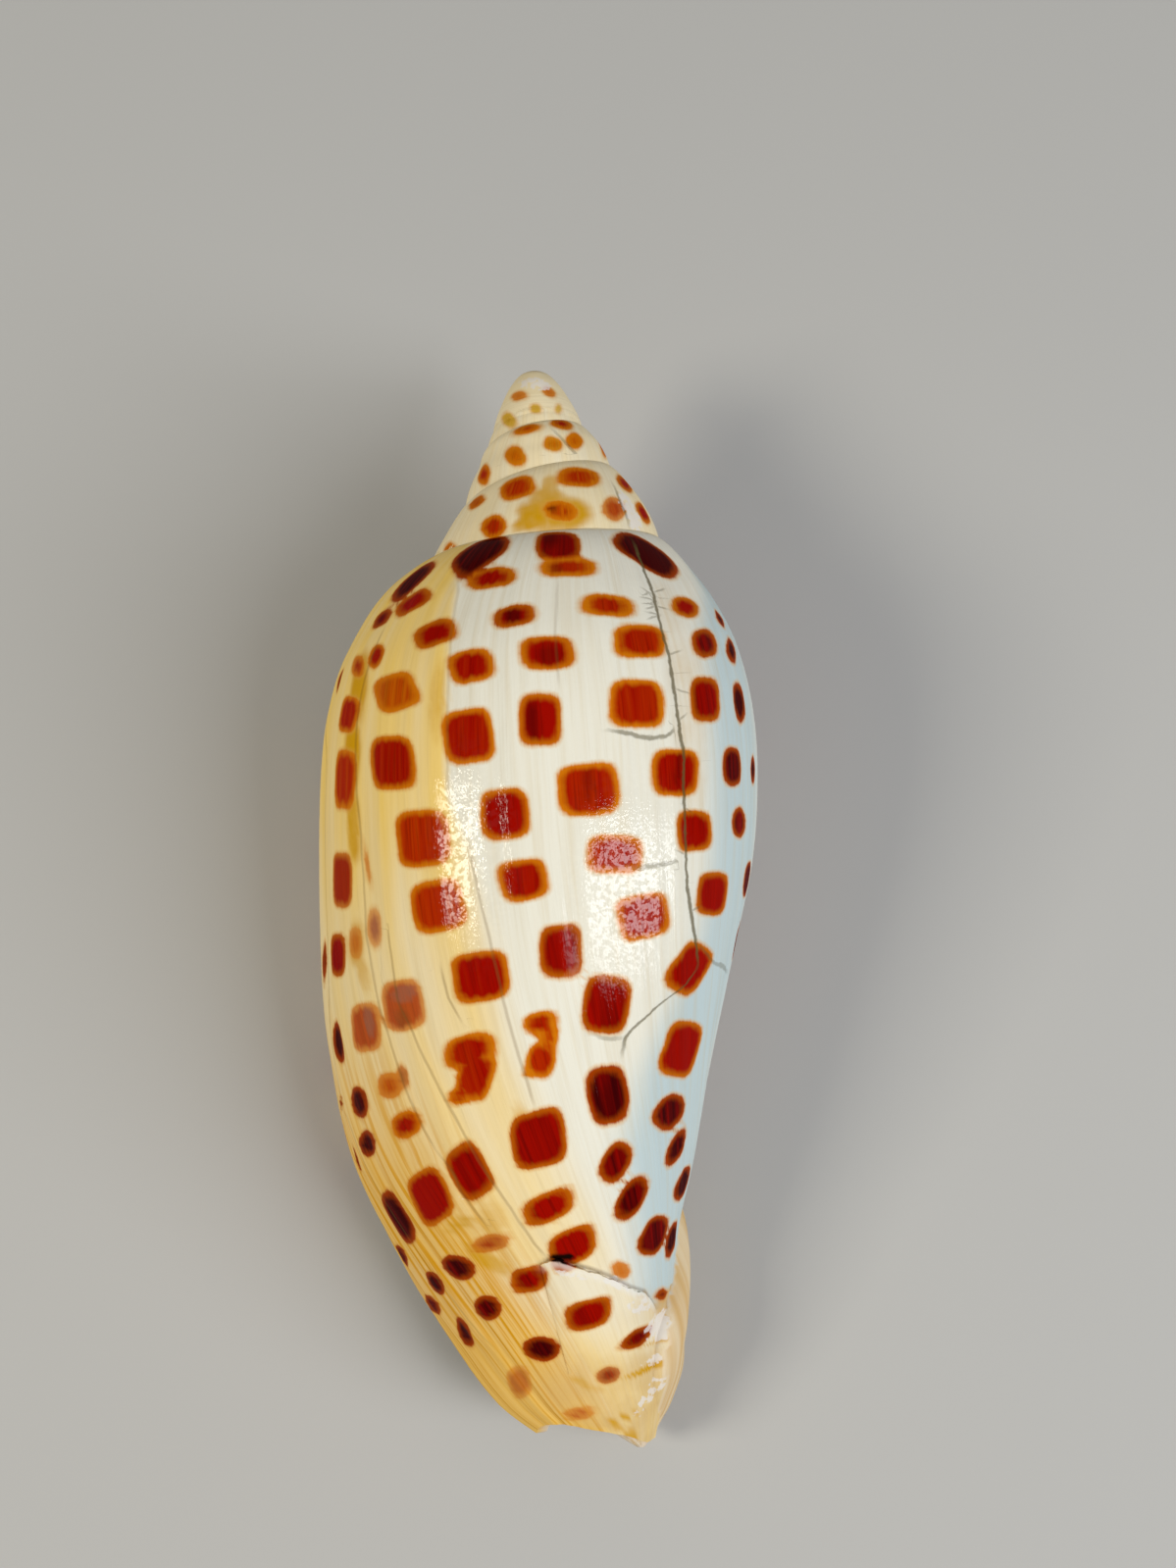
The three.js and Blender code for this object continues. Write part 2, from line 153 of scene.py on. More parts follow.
# Marks on the back, each at a pixel of the photograph's frame.
# Spots: x, y, width, height, tilt in degrees clockwise and tone, from 0, pale ochre, to 1, maroon. A fainter
# spot also has its strength.
SPOTS = [
    # The spire
    (530, 405, 17, 9, -30, 0.1, 0.9), (560, 399, 15, 9, 30, 0.15, 0.9), (546, 417, 12, 10, 0, -0.3, 0.9),
    (570, 416, 7, 9, -30, -0.3, 0.8), (519, 428, 14, 11, -45, -0.3, 0.9), (537, 437, 28, 8, -18, 0.3),
    (573, 432, 23, 9, 15, 0.5), (525, 465, 21, 21, -30, 0.05), (564, 453, 20, 14, 20, 0.0),
    (586, 450, 20, 15, 40, 0.1), (614, 457, 7, 21, -34, 0.4), (493, 484, 11, 24, 20, 0.35),
    (526, 497, 38, 21, -22, 0.3), (591, 486, 44, 19, 8, 0.3), (626, 519, 26, 22, 35, 0.3, 0.85),
    (656, 523, 8, 26, -33, 0.6), (572, 521, 38, 20, 8, 0.2), (561, 519, 13, 11, 0, 0.8),
    (503, 537, 26, 22, -35, 0.35), (486, 512, 22, 8, -38, 0.6), (637, 493, 24, 7, 45, 0.6),
    (458, 558, 14, 9, -45, 0.4),
    # The shoulder
    (489, 563, 72, 25, -33, 0.95), (569, 555, 46, 30, 0, 0.8), (580, 578, 56, 20, -3, 0.35),
    (660, 564, 74, 25, 33, 0.95), (420, 592, 62, 12, -42, 0.95), (500, 589, 50, 20, -12, 0.6),
    (421, 614, 44, 16, -32, 0.7), (389, 631, 30, 10, -48, 0.85), (443, 646, 46, 24, -22, 0.65),
    (525, 628, 46, 22, -12, 0.75), (620, 617, 54, 23, 3, 0.45), (699, 619, 28, 19, 20, 0.6),
    (734, 631, 7, 22, -25, 1), (480, 679, 48, 34, -15, 0.55), (558, 665, 55, 34, -5, 0.6),
    (652, 654, 54, 34, 0, 0.45), (719, 656, 24, 30, -10, 0.8), (746, 663, 9, 28, -12, 1),
    (403, 706, 46, 38, -20, 0.15), (383, 669, 12, 26, 25, 0.55), (366, 680, 12, 22, 10, 0.5, 0.9),
    (356, 729, 17, 38, 12, 0.45), (346, 695, 6, 28, 15, 0.8), (551, 734, 44, 54, 0, 0.65),
    (650, 717, 56, 50, 0, 0.45), (720, 713, 29, 46, -3, 0.75), (754, 717, 11, 42, -6, 1),
    (477, 750, 52, 56, -8, 0.5), (399, 778, 46, 56, -5, 0.5), (352, 795, 20, 62, 3, 0.35),
    (690, 788, 48, 48, 0, 0.55), (747, 782, 20, 40, -2, 0.9), (600, 805, 64, 54, -5, 0.45),
    (768, 785, 6, 30, 0, 1),
    # The middle
    (514, 830, 50, 52, -5, 0.6), (430, 855, 55, 58, -5, 0.35), (628, 871, 58, 40, 0, 0.4),
    (709, 847, 36, 42, -3, 0.65), (754, 839, 15, 32, 0, 0.85), (534, 897, 52, 42, -10, 0.55),
    (446, 924, 54, 54, -12, 0.32), (657, 935, 52, 46, -10, 0.45), (727, 912, 30, 44, 5, 0.7),
    (762, 897, 10, 36, 8, 0.95), (349, 897, 20, 56, 0, 0.65, 0.9), (374, 881, 6, 40, -8, 0.4, 0.7),
    (345, 974, 15, 44, 0, 0.75), (364, 962, 14, 36, 0, 0.15, 0.6), (382, 946, 15, 42, -5, 0.35, 0.6),
    (489, 996, 58, 52, -8, 0.6), (572, 970, 44, 54, -3, 0.75), (619, 1025, 48, 58, 8, 0.75),
    (704, 988, 37, 52, 33, 0.65), (751, 959, 9, 38, 8, 0.9), (411, 1025, 42, 52, -10, 0.45, 0.75),
    (373, 1048, 30, 50, -5, 0.45, 0.75), (345, 1063, 9, 46, -8, 1), (332, 982, 4, 46, 0, 0.9),
    (551, 1043, 35, 23, -12, 0.5), (559, 1058, 21, 40, 3, 0.35), (552, 1081, 30, 34, 15, 0.45),
    (543, 1092, 18, 10, -15, 0.4),
    # The front
    (478, 1072, 52, 34, -10, 0.5), (485, 1097, 38, 50, 15, 0.5), (469, 1117, 28, 18, -15, 0.45),
    (620, 1117, 42, 60, -12, 0.9), (696, 1070, 38, 56, 15, 0.65), (683, 1134, 30, 36, 35, 0.9),
    (690, 1170, 16, 40, 22, 0.95), (697, 1207, 12, 34, 15, 1), (549, 1162, 58, 60, -10, 0.75),
    (628, 1186, 32, 42, 30, 0.85), (645, 1222, 28, 46, 28, 0.9), (667, 1260, 26, 40, 20, 0.9),
    (685, 1264, 10, 38, 10, 1), (559, 1231, 54, 31, -18, 0.7), (584, 1271, 48, 36, -20, 0.7),
    (479, 1195, 37, 60, -32, 0.75), (439, 1220, 40, 58, -28, 0.6), (406, 1241, 15, 62, -32, 0.95),
    (499, 1268, 44, 18, -8, 0.6, 0.8), (366, 1124, 18, 34, -12, 0.95), (375, 1166, 18, 28, -12, 1),
    (398, 1107, 26, 27, 0, 0.15, 0.85), (412, 1098, 10, 26, -15, 0.7, 0.8), (414, 1147, 32, 29, -25, 0.5),
    (348, 1126, 5, 20, 0, 0.9), (364, 1182, 6, 30, -15, 0.9), (411, 1280, 9, 26, -30, 0.95),
    (466, 1292, 40, 22, 25, 0.95), (444, 1308, 30, 13, 50, 0.95), (539, 1305, 40, 27, -5, 0.75),
    (497, 1334, 32, 24, 25, 0.9), (599, 1338, 48, 31, -8, 0.75), (474, 1359, 13, 36, -28, 0.95),
    (552, 1376, 40, 24, 15, 0.95), (648, 1363, 38, 18, -25, 0.85), (620, 1402, 25, 18, 0, 0.8, 0.8),
    (529, 1410, 25, 34, -20, 0.5, 0.5), (589, 1442, 36, 13, 5, 0.45, 0.6), (675, 1320, 15, 13, 0, 0.85),
    (633, 1295, 21, 15, 30, 0.15, 0.9), (442, 1330, 9, 28, -40, 0.9),
]
# Places inside or beside a spot that are bare: x, y, width, height, tilt.
BARE_PLACES = [
    (452, 1104, 24, 20, 0), (539, 1060, 18, 8, -12), (645, 1098, 12, 26, -30), (600, 1198, 10, 14, 30),
]

# Growth scars that run down the shell: pixels, how far the younger side stands up in mm, and darkness, which is
# partly painted shade along the step.
SCARS = {
    "main": ([
        (396, 940), (401, 985), (406, 1020), (421, 1050), (436, 1085), (455, 1122), (475, 1160),
        (487, 1181), (507, 1212), (530, 1246), (545, 1268), (560, 1285),
    ], 0.07, 0.55),
    "left": ([
        (392, 640), (380, 668), (371, 697), (365, 728), (363, 758), (364, 813), (368, 850), (371, 900),
        (374, 950), (380, 985), (388, 1030), (399, 1062), (410, 1098), (418, 1120), (432, 1150),
        (447, 1176),
    ], 0.1, 0.5),
    "flap": ([
        (447, 1176), (457, 1186), (466, 1198), (470, 1212), (482, 1230), (492, 1243), (499, 1253),
    ], 0.2, 0.6),
    "middle": ([(478, 865), (499, 956), (514, 1023), (528, 1076), (545, 1128)], 0.05, 0.5),
    "short": ([(449, 985), (457, 1018), (471, 1043)], 0.0, 0.6),
    "step": ([(468, 588), (467, 603), (459, 663), (457, 722), (456, 813)], 0.08, 0.3),
    "upper": ([(568, 590), (566, 643), (569, 700)], 0.0, 0.3),
    "far": ([
        (352, 1130), (372, 1185), (398, 1232), (424, 1272), (452, 1312), (478, 1345), (505, 1375),
    ], 0.1, 0.35),
    "edge": ([
        (350, 640), (338, 700), (333, 800), (333, 900), (335, 1000), (342, 1080), (352, 1140),
    ], 0.06, 0.4),
}
# The edge of the healed ledge, and lines where the ground colour changes.
LEDGE_EDGE = [
    (552, 1290), (560, 1286), (572, 1284), (590, 1292), (612, 1299), (630, 1307), (642, 1314), (658, 1320),
    (669, 1336),
]
WARM_EDGE = [
    (476, 560), (467, 603), (459, 663), (457, 722), (458, 813), (478, 865), (499, 956), (514, 1023),
    (528, 1076), (550, 1128), (585, 1200), (620, 1280),
]
COOL_EDGE = [
    (690, 560), (706, 640), (714, 720), (718, 800), (716, 880), (704, 960), (672, 1030), (640, 1100),
    (620, 1180), (640, 1290),
]

# Cracks that run down and across: pixels and darkness. Short ones are ticks, given by both ends.
CRACKS = {
    "trunk": ([
        (646, 552), (651, 567), (657, 583), (666, 604), (671, 627), (676, 649), (682, 666), (686, 693),
        (689, 717), (693, 742), (697, 762), (697, 800), (698, 850), (699, 885), (704, 921), (709, 956),
        (712, 985),
    ], 1.0),
    "fork": ([
        (713, 985), (700, 1003), (686, 1014), (674, 1022), (660, 1036), (646, 1048), (638, 1058),
        (634, 1076),
    ], 0.9),
    "spire": ([(624, 493), (632, 512), (642, 536)], 0.7),
    "scar": ([(561, 436), (574, 448), (589, 464), (591, 474)], 0.5),
}
SIDE_CRACKS = {
    "upper": ([(619, 743), (640, 748), (660, 753), (680, 750), (692, 741)], 0.8),
    "middle": ([(646, 886), (667, 883), (684, 879), (698, 876)], 0.6),
    "lower": ([(602, 1054), (620, 1060), (638, 1058)], 0.5),
    "right": ([(710, 960), (728, 982), (742, 992)], 0.5),
}
TICKS = [
    (655, 600, 667, 607), (654, 609, 668, 612), (659, 621, 670, 617), (661, 631, 673, 627),
    (667, 603, 677, 600), (669, 617, 680, 620), (682, 667, 694, 663), (688, 702, 703, 707),
    (692, 735, 700, 728), (697, 822, 706, 829), (690, 868, 699, 872), (704, 930, 714, 924),
]

# Stains, deposits, glossy areas, painted highlights and a painted shadow, each a soft mark: x, y, width,
# height, tilt and strength.
STAIN_AND_LIGHT_MARKS = {
    "ochre": [
        (561, 494, 20, 24, 0, 0.8), (557, 508, 44, 28, 0, 0.85), (544, 521, 42, 24, 0, 0.9),
        (541, 534, 44, 14, 0, 0.8), (576, 522, 56, 36, 0, 0.9), (560, 539, 90, 7, 0, 0.6),
        (366, 700, 16, 84, 8, 0.9), (359, 770, 16, 90, 2, 0.9), (361, 842, 14, 84, -2, 0.8),
        (364, 962, 20, 54, 0, 0.5), (372, 995, 14, 44, -12, 0.5), (502, 1242, 34, 44, -35, 0.45),
        (470, 1248, 44, 16, -15, 0.6), (498, 1286, 70, 16, 32, 0.6), (692, 1335, 20, 28, 0, 0.6),
        (662, 1393, 54, 7, -25, 0.9), (676, 1367, 42, 6, -20, 0.7), (684, 1313, 34, 6, -18, 0.7),
        (632, 1426, 60, 36, -10, 0.2), (636, 1446, 34, 6, -8, 0.8), (620, 1458, 50, 5, 5, 0.5),
        (644, 1466, 18, 12, 40, 0.8), (600, 1413, 60, 8, 25, 0.4), (446, 715, 18, 110, 3, 0.4),
        (535, 1150, 20, 60, -20, 0.4),
    ],
    "tan": [
        (690, 1345, 34, 60, 0, 0.4), (682, 1400, 50, 70, 10, 0.6), (664, 1450, 40, 60, 25, 0.6),
        (622, 1440, 90, 40, 0, 0.6), (600, 1415, 150, 80, 20, 0.55), (702, 700, 44, 290, -6, 0.35),
    ],
    "white": [
        # Real white crusts and ribs, and painted highlights: the glint on the dark spot at 674, 1352 and the
        # bright strips along the ledge's top and edge.
        (664, 1418, 12, 62, 25, 0.6), (680, 1387, 26, 11, -20, 0.6), (674, 1352, 26, 32, 40, 0.85),
        (630, 1308, 40, 7, 22, 0.9), (652, 1330, 32, 18, 5, 0.5), (590, 1298, 60, 10, 14, 0.4),
        (474, 1222, 9, 62, -36, 0.2), (643, 522, 14, 50, -27, 0.8), (545, 390, 34, 14, 0, 0.7),
    ],
    "grey": [
        (383, 946, 12, 56, -8, 0.8), (412, 1012, 34, 24, -20, 0.7), (377, 1038, 12, 46, -8, 0.75),
        (371, 900, 8, 50, -3, 0.4),
    ],
    "deep": [
        (522, 628, 18, 20, 0, 0.8), (561, 519, 13, 11, 0, 0.9), (543, 737, 14, 50, -3, 0.7),
        (413, 1099, 9, 30, -15, 0.9), (411, 1040, 14, 26, -10, 0.6), (621, 1125, 16, 50, -10, 0.6),
        (560, 548, 18, 16, 0, 0.6), (564, 580, 20, 16, 0, 0.5), (668, 570, 60, 20, 38, 0.9),
        (692, 780, 8, 50, 5, 0.6), (600, 800, 12, 44, 0, 0.4), (512, 830, 10, 44, 0, 0.35),
        (560, 668, 26, 24, 0, 0.5),
    ],
    # A painted shadow: the dark inside of the small hole just behind the ledge's edge.
    "hole": [(572, 1281, 32, 9, 12, 0.95)],
    "gloss": [(482, 870, 90, 210, -4, 1), (640, 900, 130, 210, 0, 1)],
}


def smooth(value, low, high):
    """0 at low and 1 at high, smoothly."""
    share = np.clip((value - low) / (high - low), 0, 1)
    return share * share * (3 - 2 * share)


def curve_through(points):
    """A smooth curve through (place, value) points, level outside them."""
    places, values = np.array(points, float).T
    after = np.minimum(np.arange(len(places)) + 1, len(places) - 1)
    before = np.maximum(np.arange(len(places)) - 1, 0)
    slopes = (values[after] - values[before]) / (places[after] - places[before])

    def at(place):
        place = np.clip(place, places[0], places[-1])
        i = np.clip(np.searchsorted(places, place, side="right") - 1, 0, len(places) - 2)
        width = places[i + 1] - places[i]
        rise = (values[i + 1] - values[i]) / width
        u = (place - places[i]) / width
        bend = width * ((slopes[i] - rise) * (1 - u) + (rise - slopes[i + 1]) * u)
        return values[i] + u * (values[i + 1] - values[i]) + u * (1 - u) * bend

    return at


def column(first, last, steps):
    """Evenly spaced numbers, one to a row."""
    return np.linspace(first, last, steps + 1)[:, None]


def waves(value, periods, power, seed):
    """Uneven waves: the sum of sines whose height grows with their period."""
    random = np.random.default_rng(seed)
    return sum(period**power * np.sin(2 * np.pi * (value / period + random.random())) for period in periods)


# The spiral

left_radius = curve_through(LEFT_OUTLINE)
right_radius = curve_through(RIGHT_OUTLINE)
pillar_radius = curve_through(COLUMELLA_OUTLINE)
fasciole_place = curve_through(FASCIOLE_PATH)
growth_lag = curve_through(GROWTH_LAG)
front_edge = curve_through(FRONT_EDGE)
nucleus_radius = curve_through(NUCLEUS_OUTLINE[:-1])


def length_scale(turn):
    return LENGTHENING ** (np.minimum(turn - RIGHT_SIDE, 0) / FULL_TURN)


def wall_radius(turn, axial):
    """Radius of the outside of a whorl at a turn angle and an axial distance."""
    turn, axial = np.broadcast_arrays(np.asarray(turn, float), np.asarray(axial, float))
    early = WIDENING ** ((turn - RIGHT_SIDE) / FULL_TURN) * right_radius(axial / length_scale(turn))
    swell = SPIRE_SWELL["height"] * (1 + SPIRE_SWELL["lean"] * np.cos(np.radians(turn - LEFT_SIDE)))
    early = early + swell * (1 - smooth(axial, SPIRE_SWELL["start"], SPIRE_SWELL["end"]))
    grown = (turn - RIGHT_SIDE) / (LEFT_SIDE - RIGHT_SIDE)
    share = np.where(grown < 1, grown, 1 + (grown - 1) * FLARE)
    late = right_radius(axial) + share * (left_radius(axial) - right_radius(axial))
    return np.where(turn <= RIGHT_SIDE, early, late)


def columella_radius(bearing, axial):
    first, last = FASCIOLE_PATH[0][0], FASCIOLE_PATH[-1][0]
    around = first + np.mod(bearing - first, FULL_TURN)
    fades = FASCIOLE["fades_over"]
    faded = smooth(around, first, first + fades) * (1 - smooth(around, last, last + fades))
    across = (axial - fasciole_place(around)) / FASCIOLE["half_width"]
    return pillar_radius(axial) + FASCIOLE["height"] * faded * np.exp(-across * across)


def spire_bend(axial):
    return SPIRE_BEND["share"] * (1 - smooth(axial, SPIRE_BEND["start"], SPIRE_BEND["end"]))


def place_at(bearing, axial, radius):
    """The point at a bearing, with the apex at the origin and the axis along -Y. The spire bends."""
    angle = np.radians(bearing)
    up = -radius * np.sin(angle)
    return np.stack(np.broadcast_arrays(radius * np.cos(angle), spire_bend(axial) * up - axial, up), -1)


def coordinates_of(places):
    """Bearing from 0 to 360, axial distance and radius of places."""
    bearing = np.mod(np.degrees(np.arctan2(-places[..., 2], places[..., 0])), FULL_TURN)
    axial = -places[..., 1]
    for _ in range(BEND_STEPS):
        axial = spire_bend(axial) * places[..., 2] - places[..., 1]
    return bearing, axial, np.hypot(places[..., 0], places[..., 2])


def bearing_of(turn, row):
    return LIP_BEARING - turn + growth_lag(row)


def row_axial(turn, row):
    """Axial distance of a row. A row is named by its axial distance on the back of the body whorl."""
    share = smooth(row, EDGED_FROM, FRONT_ROW)
    late = row + share * (front_edge(bearing_of(turn, FRONT_ROW)) - FRONT_ROW)
    return np.where(turn <= RIGHT_SIDE, row * length_scale(turn), late)


def row_places(count, last_share=1.0):
    """Rows of a whorl, closer together at the suture."""
    share = np.linspace(0, last_share, count)
    return FIRST_ROW + (FRONT_ROW - FIRST_ROW) * ((1 - CROWDED) * share + CROWDED * share**2)


def whorls_at(bearing, axial, count=4, slack=0.0):
    """For each whorl, its turn angle at a place, and whether its wall is there, give or take a slack."""
    for whorls in range(count):
        turn = LIP_BEARING - bearing - whorls * FULL_TURN
        row = axial / length_scale(turn)
        yield turn, (row >= FIRST_ROW - 0.1 * slack) & (turn + growth_lag(row) <= slack)


def turning(axis, degrees):
    """The rotation about an axis: 0 is X, 1 is Y and 2 is Z."""
    c, s = math.cos(math.radians(degrees)), math.sin(math.radians(degrees))
    a, b = (axis + 1) % 3, (axis + 2) % 3
    matrix = np.eye(3)
    matrix[a, a] = matrix[b, b] = c
    matrix[a, b], matrix[b, a] = -s, s
    return matrix


LAID_DOWN = turning(2, LEAN) @ turning(0, RAISE) @ turning(1, ROLL)


def resting_move():
    """The move, after the turns, that brings the smooth shell to where it rests."""
    turn = column(-FULL_TURN, 0, 240)
    row = row_places(160)[None, :]
    bearing = bearing_of(turn, row)
    axial = row_axial(turn, row)
    wall = place_at(bearing, axial, wall_radius(LIP_BEARING - bearing, axial)).reshape(-1, 3)
    tips = np.array([[COLUMELLA_BEND["shift"], -COLUMELLA_OUTLINE[-1][0], 0], [-NUCLEUS_SHIFT, 0, 0]])
    laid = np.concatenate([wall, tips]) @ LAID_DOWN.T
    low, high = laid.min(0), laid.max(0)
    return np.array([-(low[0] + high[0]) / 2, -(low[1] + high[1]) / 2, -low[2] - REST_FLATS])


MOVE = resting_move()


# Camera

def camera_axes():
    e, a, r = (math.radians(CAMERA[k]) for k in ("elevation", "azimuth", "roll"))
    back = np.array([math.sin(a) * math.cos(e), -math.cos(a) * math.cos(e), math.sin(e)])
    level = np.array([math.cos(a), math.sin(a), 0.0])
    upright = np.cross(back, level)
    return math.cos(r) * level + math.sin(r) * upright, math.cos(r) * upright - math.sin(r) * level, back


RIGHT, UP, BACK = camera_axes()
EYE = TARGET + CAMERA["distance"] * BACK
FOCAL = CAMERA["pixels_per_mm"] * CAMERA["distance"]


def added(name, data):
    thing = bpy.data.objects.new(name, data)
    bpy.context.scene.collection.objects.link(thing)
    return thing


def aim(thing, right, up, back, place):
    """Puts a camera or a lamp at a place in mm, with its own directions."""
    matrix = np.eye(4)
    matrix[:3] = np.stack([right, up, back, place * MM], -1)
    thing.matrix_world = Matrix(matrix.tolist())


def make_camera():
    camera = added("camera", bpy.data.cameras.new("camera"))
    bpy.context.scene.camera = camera
    aim(camera, RIGHT, UP, BACK, EYE)
    camera.data.sensor_fit = "VERTICAL"
    camera.data.sensor_height = SENSOR_HEIGHT
    camera.data.lens = SENSOR_HEIGHT * FOCAL / FRAME_HEIGHT
    camera.data.clip_start, camera.data.clip_end = CLIPPED


def pixel_of(places):
    """The pixel of the frame at which a place of the shell shows."""
    seen = places @ LAID_DOWN.T + MOVE - EYE
    depth = -(seen @ BACK)
    return np.stack([FRAME_WIDTH / 2 + FOCAL * (seen @ RIGHT) / depth,
                     FRAME_HEIGHT / 2 - FOCAL * (seen @ UP) / depth], -1)


def back_radius(bearing, axial):
    """Radius of the outermost surface, for bearings of the back and the sides."""
    best = np.where(axial > COLUMELLA_OUTLINE[0][0], columella_radius(bearing, axial), 0)
    on_nucleus = (axial >= NUCLEUS_OUTLINE[0][0]) & (axial < NUCLEUS_END)
    best = np.where(on_nucleus, np.maximum(best, nucleus_radius(axial)), best)
    for turn, real in whorls_at(bearing, axial):
        best = np.where(real & (axial < WALL_END), np.maximum(best, wall_radius(turn, axial)), best)
    return best


def places_at_pixels(pixels):
    """The places that show at pixels of the frame; beside the outline, the nearest place in line."""
    pixels = np.array(pixels, float)
    offset = (pixels[:, :1] - FRAME_WIDTH / 2) * RIGHT - (pixels[:, 1:] - FRAME_HEIGHT / 2) * UP
    ahead = offset / FOCAL - BACK
    reach = np.arange(CAMERA["distance"] - RAY_REACH, CAMERA["distance"] + RAY_REACH, RAY_STEP)
    along = EYE + reach[None, :, None] * ahead[:, None, :]
    local = (along - MOVE) @ LAID_DOWN
    bearing, axial, radius = coordinates_of(local)
    gap = radius - back_radius(bearing, axial)
    inside = gap <= 0
    hit = inside.any(1)
    first = np.where(hit, inside.argmax(1), gap.argmin(1))
    row = np.arange(len(pixels))
    before = np.maximum(first - 1, 0)
    g0, g1 = gap[row, before], gap[row, first]
    share = np.where(hit & (g0 > g1), g0 / np.maximum(g0 - g1, TINY), 1.0)[:, None]
    return local[row, before] * (1 - share) + local[row, first] * share


def whorl_turn(bearing, axial):
    """Turn angle of the outermost whorl at a place on the back."""
    best, found = np.full(np.shape(bearing), -1.0), np.zeros(np.shape(bearing))
    for turn, real in whorls_at(bearing, axial):
        radius = np.where(real, wall_radius(turn, axial), -1)
        found = np.where(radius > best, turn, found)
        best = np.maximum(best, radius)
    return found


class Line:
    """A line on the wall. It runs down the shell, a turn angle for each axial distance, or across it."""

    def __init__(self, pixels, across=False):
        bearing, axial, _ = coordinates_of(places_at_pixels(pixels))
        turn = whorl_turn(bearing, axial)
        self.across = across
        key, value = (turn, axial) if across else (axial, turn)
        order = np.argsort(key)
        self.key, self.value = key[order], value[order]
        self.turn = turn.mean()

    def field(self, turn, axial, radius):
        """Distance across in mm, more than 0 on the older or front side, and a mask that fades at the ends."""
        mm_per_degree = np.radians(1) * radius
        if self.across:
            distance = axial - np.interp(turn, self.key, self.value)
            beyond = np.maximum(self.key[0] - turn, turn - self.key[-1]) * mm_per_degree
        else:
            distance = (np.interp(axial, self.key, self.value) - turn) * mm_per_degree
            beyond = np.maximum(self.key[0] - axial, axial - self.key[-1])
        return distance, 1 - smooth(beyond, *LINE_END_FADE)


SCAR_LINES = [(Line(pixels), rise, dark) for pixels, rise, dark in SCARS.values()]


def relief(turn, axial):
    """How far the wall stands out from its smooth form."""
    turn, axial = np.broadcast_arrays(turn, axial)
    scale = length_scale(turn)
    row = axial / scale
    grown = turn + growth_lag(row)
    near_lip = smooth(grown, *WAVES["lip_turns"])
    height = waves(grown, WAVES["periods"], 0.5, 7) / 8 * (WAVES["height"] + WAVES["more_at_lip"] * near_lip)
    height = height * scale * smooth(row, *WAVES["first_rows"])
    radius = wall_radius(turn, axial)
    for line, rise, _ in SCAR_LINES:
        if rise:
            distance, mask = line.field(turn, axial, radius)
            step = smooth(-distance, *SCAR_STEP["rises"]) * (1 - smooth(-distance, *SCAR_STEP["falls"]))
            height = height + rise * mask * step
    return np.where(turn > -FULL_TURN, height, height * WAVES["spire_share"])


# Solids

def mesh_object(name, points, faces):
    mesh = bpy.data.meshes.new(name)
    mesh.from_pydata(points.tolist(), [], faces)
    mesh.validate()
    return added(name, mesh)


def closed_object(name, points, faces):
    """An object whose faces look outwards."""
    triangles = np.array([(face[0], b, c) for face in faces for b, c in zip(face[1:], face[2:])])
    a, b, c = (points[triangles[:, k]] for k in range(3))
    outwards = np.einsum("ij,ij->i", a, np.cross(b, c)).sum() > 0
    return mesh_object(name, points, faces if outwards else [face[::-1] for face in faces])


def block_object(name, bearing, axial, outer, inner):
    """A closed block between two grids of points at an outer and an inner radius."""
    outer, inner = place_at(bearing, axial, outer), place_at(bearing, axial, inner)
    steps, rows, _ = outer.shape
    top = np.arange(steps * rows).reshape(steps, rows)
    under = top + steps * rows
    quads = np.stack([top[:-1, :-1], top[:-1, 1:], top[1:, 1:], top[1:, :-1]], -1).reshape(-1, 4)
    faces = [quads, quads[:, ::-1] + steps * rows]
    for line, low in ((top[0], under[0]), (top[-1][::-1], under[-1][::-1]),
                      (top[::-1, 0], under[::-1, 0]), (top[:, -1], under[:, -1])):
        faces.append(np.stack([line[1:], line[:-1], low[:-1], low[1:]], -1))
    points = np.concatenate([outer.reshape(-1, 3), inner.reshape(-1, 3)])
    return closed_object(name, points, np.concatenate(faces).tolist())


def tube_object(name, rings):
    """A closed object through rings of points, with a point in the middle of each end."""
    count, sides, _ = rings.shape
    index = np.arange(count * sides).reshape(count, sides)
    following = np.roll(index, -1, 1)
    faces = np.stack([index[:-1], following[:-1], following[1:], index[1:]], -1).reshape(-1, 4).tolist()
    points = np.concatenate([rings.reshape(-1, 3), rings[0].mean(0)[None], rings[-1].mean(0)[None]])
    first, last = count * sides, count * sides + 1
    for end, line, other in ((first, following[0], index[0]), (last, index[-1], following[-1])):
        faces += [[end, *pair] for pair in zip(line.tolist(), other.tolist())]
    return closed_object(name, points, faces)


def joined(thing, other, operation):
    """Joins or cuts one closed object with another, and removes the other."""
    modifier = thing.modifiers.new("join", "BOOLEAN")
    modifier.operation = operation
    modifier.solver = "MANIFOLD"
    modifier.object = other
    graph = bpy.context.evaluated_depsgraph_get()
    mesh = bpy.data.meshes.new_from_object(thing.evaluated_get(graph))
    thing.modifiers.clear()
    old = thing.data
    thing.data = mesh
    bpy.data.meshes.remove(old)
    bpy.data.objects.remove(other)


def lip_chips(row):
    """How far the broken lip falls short of its full growth, in degrees."""
    return CHIPS["mean"] + CHIPS["height"] * waves(row, CHIPS["periods"], 0.6, 3)


def whorl(name, first, last, steps, rows):
    """A solid stretch of a whorl between two turn angles, from core to wall. At 0 it ends in the lip."""
    row = rows[None, :]
    last = last if last else last - lip_chips(row)
    turn = first + (last - first) * column(0, 1, steps)
    bearing = bearing_of(turn, row)
    axial = row_axial(turn, row)
    own_turn = LIP_BEARING - bearing
    radius = np.maximum(wall_radius(own_turn, axial) + relief(own_turn, axial), CORE_RADIUS)
    return block_object(name, bearing, axial, radius, CORE_RADIUS / 2)


